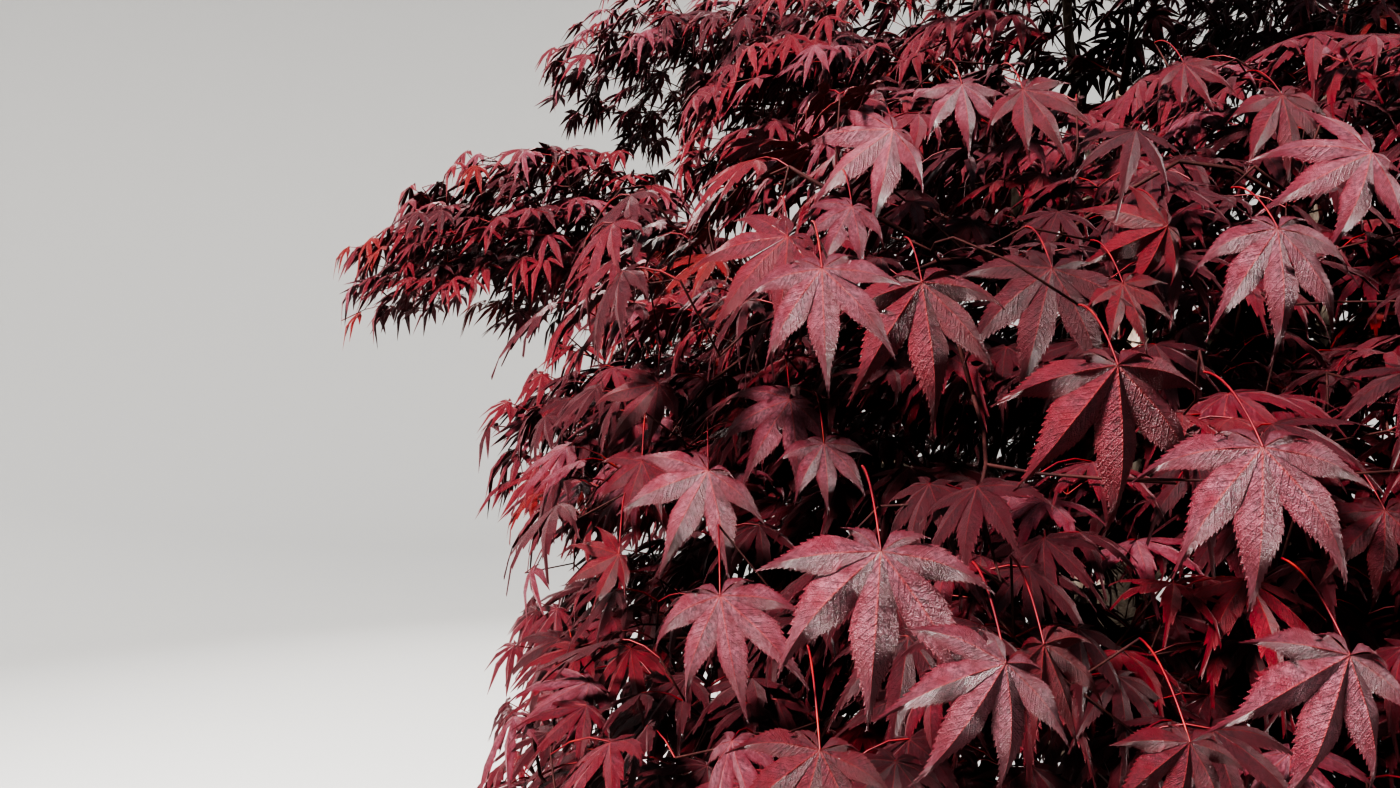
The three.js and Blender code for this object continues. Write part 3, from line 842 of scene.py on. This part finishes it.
FOCAL = LENS / SENSOR * PHOTO_SIZE[0]
CAMERA_RIGHT = np.array([1.0, 0, 0])
CAMERA_AHEAD = np.array([0, cos(CAMERA_TILT), sin(CAMERA_TILT)])
CAMERA_UP = np.array([0, -sin(CAMERA_TILT), cos(CAMERA_TILT)])


def on_photo(spots):
    offset = np.asarray(spots) - CAMERA_AT
    away = np.maximum(offset @ CAMERA_AHEAD, 1.0)
    x = PHOTO_SIZE[0] / 2 + FOCAL * (offset @ CAMERA_RIGHT) / away
    y = PHOTO_SIZE[1] / 2 - FOCAL * (offset @ CAMERA_UP) / away
    return x, y, away


def from_photo(x, y, away):
    right = (x - PHOTO_SIZE[0] / 2) / FOCAL * away
    up = -(y - PHOTO_SIZE[1] / 2) / FOCAL * away
    return CAMERA_AT + CAMERA_AHEAD * away + CAMERA_RIGHT * right + CAMERA_UP * up


# The large leaves that the photo shows nearest: the pixel of the stalk and that of the middle tip, the
# distance from the camera, how far the tip leans towards the camera and how far the face turns to the right,
# in degrees, and the tint. A few of the tips fall outside the photo.
NEAR_LEAVES = (
    ((822, 268), (822, 396), 520, 12, -12, "painted_sheen"),
    ((922, 282), (940, 420), 560, 10, 8, "burgundy"),
    ((1118, 365), (1130, 530), 470, 8, 10, "burgundy"),
    ((1263, 447), (1250, 622), 420, 12, -6, "painted_sheen"),
    ((1278, 228), (1282, 350), 560, 14, 6, "painted_sheen"),
    ((1282, 95), (1297, 180), 740, 18, 10, "burgundy"),
    ((881, 551), (864, 732), 425, 10, -8, "painted_sheen"),
    ((720, 595), (740, 722), 560, 15, -20, "painted_sheen"),
    ((1006, 663), (922, 782), 405, 16, 4, "painted_sheen"),
    ((820, 750), (780, 880), 430, 15, 0, "burgundy"),
    ((1350, 655), (1290, 800), 420, 12, 4, "painted_sheen"),
    ((708, 470), (654, 564), 650, 14, -16, "painted_sheen"),
    ((824, 443), (831, 518), 640, 14, 6, "painted_sheen"),
    ((790, 399), (738, 471), 680, 16, -22, "painted_sheen"),
    ((1385, 510), (1380, 610), 520, 10, -10, "burgundy"),
    ((962, 84), (967, 150), 700, 30, 5, "painted_sheen"),
    ((1184, 63), (1208, 114), 760, 25, 8, "burgundy"),
    ((1052, 268), (1012, 394), 595, 15, -14, "wine"),
    ((1123, 283), (1150, 352), 590, 18, 12, "crimson"),
    ((1168, 226), (1085, 262), 630, 10, -4, "crimson"),
    ((893, 129), (806, 188), 650, 10, -28, "painted_sheen"),
    ((1023, 89), (1070, 156), 690, 18, 14, "burgundy"),
    ((852, 206), (818, 262), 610, 14, -18, "painted_sheen"),
    ((788, 236), (696, 312), 590, 6, -30, "burgundy"),
    ((1190, 742), (1168, 850), 430, 14, 6, "burgundy"),
    ((1044, 644), (1090, 750), 460, 6, 34, "crimson"),
    ((1372, 152), (1262, 198), 610, 12, -20, "painted_sheen"),
    ((642, 461), (617, 527), 700, 14, -20, "burgundy"),
    ((658, 384), (606, 436), 780, 12, -24, "burgundy"),
    ((619, 554), (562, 577), 620, 8, -30, "crimson"),
)
NEAR_STALK = CAMERA_AHEAD * 48 + np.array([0, 0, 30.0])  # from a near leaf to the twig behind and above it
LEAF_MIDDLE = 0.35  # where the middle of a leaf's reach lies, as a share of its length


def near_leaf(index, stalk, tip, away, lean, turn, tint):
    """A leaf placed by its pixels."""
    place = from_photo(*stalk, away)
    right, down = tip[0] - stalk[0], tip[1] - stalk[1]
    lean = radians(lean)
    ahead = unit(CAMERA_RIGHT * right - CAMERA_UP * down) * cos(lean) - CAMERA_AHEAD * sin(lean)
    front = unit(-CAMERA_AHEAD - ahead * np.dot(-CAMERA_AHEAD, ahead))
    across, face = swung(np.cross(front, ahead), front, radians(turn))
    return {
        "place": place,
        "ahead": ahead,
        "across": across,
        "face": face,
        "length": hypot(right, down) * away / FOCAL / cos(lean),
        "tint": TINT_NAMES.index(tint),
        "variant": index,
        "root": place + NEAR_STALK,
        "near": True,
    }


near_leaves = [near_leaf(index, *row) for index, row in enumerate(NEAR_LEAVES)]


def hide_near_leaf(spots, reach, closer, share):
    """Which things, by place and reach, stand before a near leaf's middle and closer than it by a margin."""
    x, y, away = on_photo(spots)
    hides = np.zeros(len(x), bool)
    for near in near_leaves:
        near_x, near_y, near_away = on_photo(near["place"] + near["ahead"] * near["length"] * LEAF_MIDDLE)
        apart = np.hypot(x - near_x, y - near_y) - reach * FOCAL / away * LEAF_MIDDLE
        hides |= (away < near_away - closer) & (apart < near["length"] * FOCAL / near_away * share)
    return hides


def twig_hides(spots):
    return bool(hide_near_leaf(spots, reach=0, closer=4, share=0.62).any())


# Growth: twigs of a mass join the nearest of what has grown, and carry pairs of leaves

NEAR_TWIG = 900  # twigs numbered from here on carry the near leaves
JOINTS_TRIED = 40
SHORTEST_TWIG = 12
# How far a twig bends on from its parent, rises and wanders, as shares of its span
TWIG = {"bend": 0.2, "rise": 0.05, "wander": 0.12}
# How much the way back to the bough counts in choosing a joint: for a mass's first twigs, for its later ones
# and for the twigs of near leaves
FIRST_TWIGS = 10
WAY_BACK = {"first": 0.6, "later": 0.3, "near": 0.1}
# Radii: the load of one tip, the factor from a load's root, and the thinnest and thickest
TWIG_RADIUS = {"tip": 0.35, "factor": 0.52, "least": 0.6, "most": 6.3}


class Growth:
    def __init__(self, mass):
        self.mass = mass
        self.spots = []
        self.parents = []
        self.back = []
        self.twigs = []
        self.grow_stem()

    def add_spot(self, spot, parent):
        step = 0 if parent < 0 else norm(spot - self.spots[parent])
        self.spots.append(np.asarray(spot, float))
        self.parents.append(parent)
        self.back.append(step + (self.back[parent] if parent >= 0 else 0))
        return len(self.spots) - 1

    def grow_stem(self):
        mass = self.mass
        way = mass.entry_way()
        start, on = mass.entry() - way * 4, mass.entry() + way * mass.along * 0.3
        curve = bezier(start, on, mass.place(0.05, 0.04, 0.36), mass.place(0.52, -0.05, 0.5))
        chain = []
        for spot in at_shares(curve, np.linspace(0, 1, 13)):
            chain.append(self.add_spot(spot, chain[-1] if chain else -1))
        self.twigs.append((chain, "stem"))

    def joint_for(self, end, way_back):
        """The nearest joint from which a straight twig would hide no near leaf."""
        spots = np.array(self.spots[1:])
        cost = norm(spots - end, axis=1) + way_back * np.array(self.back[1:])
        nearest = np.argsort(cost)
        for joint in nearest[:JOINTS_TRIED]:
            if not twig_hides(part_way(spots[joint], end, np.linspace(0, 1, 7)[:, None])):
                return int(joint) + 1
        return int(nearest[0]) + 1

    def grow_to(self, end, n, way_back):
        """Grows a twig to a place, where it can, and gives the joint that it ends in."""
        joint = self.joint_for(end, way_back)
        start = self.spots[joint]
        span = norm(end - start)
        if span < SHORTEST_TWIG:
            return joint
        parent_way = unit(start - self.spots[max(self.parents[joint], 0)] + 1e-6)
        bend = (parent_way - unit(end - start)) * span * TWIG["bend"] + np.array([0, 0, span * TWIG["rise"]])
        wander = np.array([chance(n, self.mass.seed, kind) - 0.5 for kind in (31, 32, 33)])
        bend = bend + wander * span * TWIG["wander"]
        steps = max(int(round(span / JOINT_SPACING)), 1)
        t = np.linspace(0, 1, steps + 1)[1:, None]
        spots = part_way(start, end, t) + bend * 2 * t * (1 - t)
        if n < NEAR_TWIG and twig_hides(spots):
            return joint
        chain = [joint]
        for spot in spots:
            chain.append(self.add_spot(spot, chain[-1]))
        self.twigs.append((chain, n))
        return chain[-1]

    def grow(self, places):
        """Grows twigs to evenly spread places in the mass's layers."""
        layers = round(self.mass.deep / LAYER_DEPTH)
        high, low, left_out = OPENED.get(self.mass.name, (0, 0, 0))
        for n in range(1, places):
            turn, out, below = even_place(n, self.mass.seed)
            reach = sqrt(out) * 0.93
            angle = 2 * pi * turn
            if high <= below < low and chance(n, self.mass.seed, 34) < left_out:
                continue
            layer = int(below * layers)
            below = (layer + 0.16 + 0.3 * (below * layers - layer)) / layers * 0.92
            end = self.mass.place(cos(angle) * reach, sin(angle) * reach, below)
            if end[2] < HIGHEST - 12 and keeps_to(self.mass, end, 0.97):
                self.grow_to(end, n, WAY_BACK["first" if n < FIRST_TWIGS else "later"])

    def radii(self):
        """A twig is as thick as the tips it carries ask for."""
        load = np.ones(len(self.spots)) * TWIG_RADIUS["tip"]
        for i in range(len(self.spots) - 1, 0, -1):
            load[self.parents[i]] += load[i]
        return np.clip(TWIG_RADIUS["factor"] * load**0.5, TWIG_RADIUS["least"], TWIG_RADIUS["most"])


def pick_tint(mass, n, level):
    """A spray's tint: dark deep inside its mass, as painted shade, and otherwise by the part of the crown,
    with painted shade in the high and shaded parts and painted back-light in the sunlit ones.
    """
    part_of_crown = "shaded"
    for part, names in (("front", FRONT), ("sunlit", SUNLIT), ("high", HIGH)):
        if mass.name in names:
            part_of_crown = part
    shares = TINT_SHARES["inside" if level < INSIDE else part_of_crown]
    draw = float(chance(n, mass.seed, 27))
    return min(int(np.searchsorted(np.cumsum(shares), draw)), len(shares) - 1)


MISSING_LEAVES = 0.22  # share of the leaves along a twig that have fallen
END_PAIR = 0.94  # the size of the two leaves beside the one at a twig's tip


def spray_leaves(growth, chain, n, size):
    """The leaves of one twig: three at its end and pairs at its joints, on stalks that rise and spread."""
    mass = growth.mass
    leaves = []
    end = len(chain) - 1
    tint = pick_tint(mass, n, mass.level(growth.spots[chain[-1]]))
    for k in range(1, len(chain)):
        spot = growth.spots[chain[k]]
        way = unit((spot - growth.spots[chain[k - 1]]) * [1, 1, 0.3])
        flat = unit(way * [1, 1, 0])
        outward = (spot - mass.middle) * [1, 1, 0] / mass.along
        rim = min(norm(outward), 1.0)
        for side in (-1, 0, 1) if k == end else (-1, 1):
            draws = Draws(n * 11 + k * 3 + side, mass.seed)
            if k < end and draws.share(5) < MISSING_LEAVES:
                continue
            turn = radians(side * draws.between(6, 46, 80) + draws.between(7, -8, 8))
            spread = np.array([*swung(flat[0], flat[1], turn), 0.0])
            length = size * draws.between(8, 0.78, 1.12) * (1.0 if side == 0 or k < end else END_PAIR)
            rise = 0.45 - 0.5 * rim * draws.share(9)
            stalk = unit(spread + [0, 0, rise]) * length * draws.between(10, 0.5, 0.75)
            heading = unit(spread * 0.55 + outward * 0.95 + mass.heading * 0.25 + TO_THE_LIGHT)
            droop = radians(10 + 24 * rim**2 + draws.between(12, -18.4, 27.6))
            roll = radians(draws.between(13, -23, 23))
            leaf = {"place": spot + stalk, "length": length, "root": spot, "joint": chain[k], "tint": tint}
            leaf.update({"variant": int(draws.share(14) * 997), "near": False})
            leaf.update(leaf_frame(heading, droop, roll))
            leaves.append(leaf)
    return leaves


LIMB_SPOTS = np.concatenate([at_shares(curve, np.linspace(0, 1, 50)) for curve, _, _ in limbs.values()])
LIMB_RADII = np.concatenate([np.linspace(root, tip, 50) for _, root, tip in limbs.values()])
LIMB_CLEARANCE = 14


def keep_leaves(mass, leaves):
    """Leaves that keep to the mass, are clear of the limbs and don't hide one of the photo's near leaves."""
    if not leaves:
        return []
    places = column(leaves, "place")
    ahead = column(leaves, "ahead") * column(leaves, "length")[:, None]
    across = column(leaves, "across") * column(leaves, "length")[:, None]
    keep = keeps_to(mass, places, 1.0) & (places[:, 2] < HIGHEST)
    for tip in (places + ahead, places + ahead * 0.7 + across * 0.6, places + ahead * 0.7 - across * 0.6):
        keep &= (mass.level(tip) < 1.03) & (tip[:, 2] < HIGHEST)
    centres = places + ahead * 0.4
    clear = norm(centres[:, None] - LIMB_SPOTS[None], axis=2) - LIMB_RADII[None]
    keep &= clear.min(axis=1) > LIMB_CLEARANCE
    keep &= ~hide_near_leaf(centres, reach=norm(ahead, axis=1), closer=-22, share=0.72)
    return [leaf for leaf, kept in zip(leaves, keep) if kept]


def stalk_tube(leaf, sides, steps):
    """A thin stalk that arches a little on its way from the twig to the leaf."""
    t = np.linspace(0, 1, steps + 1)[:, None]
    start, end = leaf["root"], leaf["place"]
    rise = np.array([0, 0, 0.12 * norm(end - start)])
    points = part_way(start, end, t) + rise * 4 * t * (1 - t)
    return tube(points, np.linspace(0.62, 0.48, steps + 1), sides, closed_end=False)


def leafy_twigs(growth, leaves):
    """The twigs, each cut back to its last joint that carries a leaf or another twig."""
    carries = {leaf["joint"] for leaf in leaves}
    kept = []
    for chain, kind in reversed(growth.twigs):
        while kind != "stem" and len(chain) > 1 and chain[-1] not in carries:
            chain = chain[:-1]
        if len(chain) > 1:
            carries.add(chain[0])
            kept.append((chain, kind))
    return kept


def grow_leaves(mass, growth):
    """Grows the mass's twigs and gives its leaves, the near ones last."""
    growth.grow(TWIGS_IN_A_FRONT_MASS if mass.name in FRONT else TWIGS_IN_A_MASS)
    own_near = [leaf for leaf in near_leaves if min(masses, key=lambda m: m.level(leaf["root"])) is mass]
    for index, leaf in enumerate(own_near):
        leaf["joint"] = growth.grow_to(leaf["root"], NEAR_TWIG + index, WAY_BACK["near"])
    size = LEAF_SIZE["high" if mass.top > LEAF_SIZE["high_above"] else "low"]
    leaves = []
    for chain, n in growth.twigs[1:]:
        bare_end = 1 if n >= NEAR_TWIG else 0
        leaves += spray_leaves(growth, chain[: len(chain) - bare_end], n, size)
    return keep_leaves(mass, leaves) + own_near


def make_blades(mass, leaves, distance):
    batch = Batch()
    for shapes, low, high in ((FINE, 0, FINE_TO), (COARSE, FINE_TO, COARSE_TO), (PLAIN, COARSE_TO, 1e9)):
        group = [leaf for leaf, d in zip(leaves, distance) if low <= d < high and not leaf["near"]]
        add_leaves(batch, shapes, group)
    add_leaves(batch, SHOWN, [leaf for leaf in leaves if leaf["near"]])
    piece = batch.build(f"leaves_{mass.name}", leaf_materials, with_uvs=True)
    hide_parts(f"foliage_{mass.name}")
    return piece


def make_twigs(mass, growth, leaves, distance):
    batch = Batch()
    radii = growth.radii()
    for chain, kind in leafy_twigs(growth, leaves):
        points = np.array([growth.spots[i] for i in chain])
        rings = radii[chain].copy()
        if kind != "stem":
            rings[0] = min(rings[0], rings[1] * 1.3)
        is_near = norm(points[0] - CAMERA_AT) < ROUND_TWIGS_TO
        batch.add(*tube(points, rings, 10 if kind == "stem" else 6 if is_near else 4))
    for leaf, d in zip(leaves, distance):
        sides, steps = (6, 9) if leaf["near"] else (4, 3) if d < ROUND_STALKS_TO else (3, 1)
        batch.add(*stalk_tube(leaf, sides, steps), slot=1)
    return batch.build(f"twigs_{mass.name}", [twig_bark, stalk_red])


def make_foliage(mass):
    """One mass: a piece of leaves, and one of twigs and stalks."""
    growth = Growth(mass)
    leaves = grow_leaves(mass, growth)
    distance = [norm(leaf["place"] - CAMERA_AT) for leaf in leaves]
    blades = make_blades(mass, leaves, distance)
    twigs = make_twigs(mass, growth, leaves, distance)
    return [(blades, "foliage"), (twigs, "bark")]


# The pot, its potting mix and a mulch of bark chips

def rounded(corner, before, after, radius, steps=6):
    """Points of an arc that takes off a corner of a profile."""
    corner, before, after = (np.array(p, float) for p in (corner, before, after))
    a = corner + unit(before - corner) * radius
    b = corner + unit(after - corner) * radius
    t = np.linspace(0, 1, steps)[:, None]
    return ((1 - t) ** 2 * a + 2 * (1 - t) * t * corner + t * t * b).tolist()


def in_steps(profile, longest):
    """The profile with points added so that no step is longer than it may be."""
    fine = []
    for a, b in zip(profile, profile[1:]):
        fine += np.linspace(a, b, max(int(dist(a, b) / longest), 1), endpoint=False).tolist()
    return fine + [profile[-1]]


def pot_inner(height):
    """The radius of the pot's inside at a height."""
    share = height / (POT["height"] - POT["chamfer"] * 0.5)
    return part_way(POT["foot"], POT["rim"], share) - POT["wall"]


def make_pot():
    lip_low = POT["height"] - POT["lip"]
    inside_low = SOIL_RIM - 40
    outline = [
        (0, 0),
        (POT["foot"], 0),
        (POT["rim"] - POT["proud"], lip_low),
        (POT["rim"], lip_low + POT["proud"] * 0.6),
        (POT["rim"], POT["height"]),
        (POT["rim"] - POT["wall"], POT["height"]),
        (pot_inner(inside_low), inside_low),
    ]
    radii = (0, POT["chamfer"], 3, 7, POT["chamfer"], 6, 0)
    profile = [outline[0]]
    for i in range(1, len(outline) - 1):
        profile += rounded(outline[i], outline[i - 1], outline[i + 1], radii[i])
    profile.append(outline[-1])
    corners, triangles = turned(in_steps(profile, 14), 120)
    # Finger marks of the wheel below the lip, and a body that is not quite round
    angle = np.arctan2(corners[:, 1], corners[:, 0])
    height = corners[:, 2]
    below_lip = np.clip(np.minimum(height - 12, lip_low - height) / 20, 0, 1)
    swell = 0.5 * np.sin(height * 0.42) * below_lip
    swell += 0.7 * np.sin(2 * angle + 0.7) + 0.35 * np.sin(5 * angle + height * 0.01)
    radius = np.hypot(corners[:, 0], corners[:, 1])
    corners[:, :2] *= ((radius + swell * np.clip(radius / 100, 0, 1)) / np.maximum(radius, 1e-6))[:, None]
    piece = one_mesh("clay_pot", corners, triangles, clay)
    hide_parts("pot")
    return piece


def soil_height(share):
    """The height of the potting mix at a share of the way from its middle to the wall."""
    return SOIL_TOP - SOIL_FALL * share**2.2


def make_soil():
    wall_overlap = 1.5
    reach = pot_inner(SOIL_RIM) + wall_overlap
    corners, triangles = turned([(radius, 0) for radius in np.linspace(0, reach, 26)], 90)
    x, y, _ = corners.T
    lumps = 2.4 * np.sin(x * 0.071 + 1) * np.cos(y * 0.083) + 1.6 * np.sin(x * 0.19 + y * 0.13)
    corners[:, 2] = soil_height(np.hypot(x, y) / reach) - 2 + lumps * 0.8
    piece = one_mesh("potting_mix", corners, triangles[:, [0, 2, 1]], earth_material())
    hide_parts("soil")
    return piece


CHIPS = 900
CHIP_CORNERS = np.array([[x, y, z] for x in (-1, 1) for y in (-1, 1) for z in (-1, 1)], float)
CHIP_SIDES = ((0, 1, 3, 2), (4, 6, 7, 5), (0, 4, 5, 1), (2, 3, 7, 6), (0, 2, 6, 4), (1, 5, 7, 3))
CHIP_TRIANGLES = [triangle for a, b, c, d in CHIP_SIDES for triangle in ((a, b, c), (a, c, d))]


def make_mulch():
    batch = Batch()
    wall = pot_inner(SOIL_RIM)
    innermost, outermost = 60, wall - 18
    for n in range(CHIPS):
        draws = Draws(n, 55)
        angle = 2 * pi * draws.share(1)
        radius = part_way(innermost, outermost, sqrt(draws.share(2)))
        height = soil_height(radius / wall) + draws.between(3, 3, 8)
        place = np.array([cos(angle) * radius, sin(angle) * radius, height])
        size = np.array([draws.between(4, 7, 20), draws.between(5, 3.5, 8.5), draws.between(6, 1.2, 2.6)])
        turn, pitch = 2 * pi * draws.share(7), draws.between(8, -0.25, 0.25)
        shape = CHIP_CORNERS * size * (1 - 0.25 * np.abs(CHIP_CORNERS[:, [1, 2, 0]]) * draws.share(9))
        c, s = cos(turn), sin(turn)
        cp, sp = cos(pitch), sin(pitch)
        spin = np.array([[c * cp, s * cp, sp], [-s, c, 0], [-c * sp, -s * sp, cp]])
        batch.add(shape @ spin + place, CHIP_TRIANGLES)
    return batch.build("bark_mulch", [mulch_material()], smooth=False)


# Stage: a round pale room with soft lights

FLOOR_RINGS = (1, 60, 240, 700, 1500, 2800, 5200)
ROOM_BEND = 1800  # the radius of the bend from the floor to the wall
WALL_HEIGHTS = (4200, 7000)
# Place and target in metres, size in metres, watts and colour
LIGHTS = {
    "key": ((-2.9, -2.6, 4.3), (-0.2, -0.3, 1.15), 0.8, 1210, (1.0, 0.975, 0.945)),
    "sky": ((0.2, -0.6, 5.6), (0, 0, 1.1), 5.0, 104, (0.74, 0.84, 1.0)),
    "fill": ((3.6, -3.4, 1.9), (0, 0, 1.0), 3.0, 14, (0.95, 0.96, 1.0)),
    "back": ((-1.5, 4.6, 3.4), (0, 0, 1.3), 2.4, 140, (1.0, 0.95, 0.9)),
}


def make_room():
    floor = FLOOR_RINGS[-1]
    bends = np.linspace(0.1, pi / 2, 14)
    profile = [(radius, 0) for radius in FLOOR_RINGS]
    profile += [(floor + ROOM_BEND * sin(a), ROOM_BEND - ROOM_BEND * cos(a)) for a in bends]
    profile += [(floor + ROOM_BEND, height) for height in WALL_HEIGHTS]
    corners, triangles = turned(profile, 96)
    paint = Paint("room_paint", (0.42, 0.417, 0.409), 0.9, 0.1)
    room = one_mesh("room", corners, triangles[:, ::-1], paint.material)


def add_light(name, place, target, size, power, colour):
    data = bpy.data.lights.new(name, "AREA")
    data.shape = "DISK"
    data.size = size
    data.energy = power
    data.color = colour
    light = bpy.data.objects.new(name, data)
    light.location = place
    light.rotation_euler = (Vector(target) - Vector(place)).to_track_quat("-Z", "Y").to_euler()
    bpy.context.collection.objects.link(light)


def light_stage():
    for name, settings in LIGHTS.items():
        add_light(name, *settings)
    world = bpy.data.worlds.new("room_air")
    world.use_nodes = True
    air = world.node_tree.nodes["Background"]
    air.inputs["Color"].default_value = (0.86, 0.90, 1.0, 1)
    air.inputs["Strength"].default_value = 0.13
    bpy.context.scene.world = world
    bpy.context.scene.view_settings.look = "AgX - Very High Contrast"


def place_camera():
    data = bpy.data.cameras.new("photo_camera")
    data.lens = LENS
    data.sensor_width = SENSOR
    camera = bpy.data.objects.new("photo_camera", data)
    camera.location = CAMERA_AT * MM
    camera.rotation_euler = (pi / 2 + CAMERA_TILT, 0, 0)
    bpy.context.collection.objects.link(camera)
    bpy.context.scene.camera = camera


# Every piece, listed with a slot name, and attached to the root body
pieces = [(make_trunk(), "bark"), (make_pot(), "clay")]
pieces += [(make_soil(), "potting_mix"), (make_mulch(), "potting_mix")]
pieces += [(make_bough(mass), "bark") for mass in masses]
for mass in masses:
    pieces += make_foliage(mass)
for piece, slot in pieces:
    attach(piece, "root")

make_room()
light_stage()
place_camera()
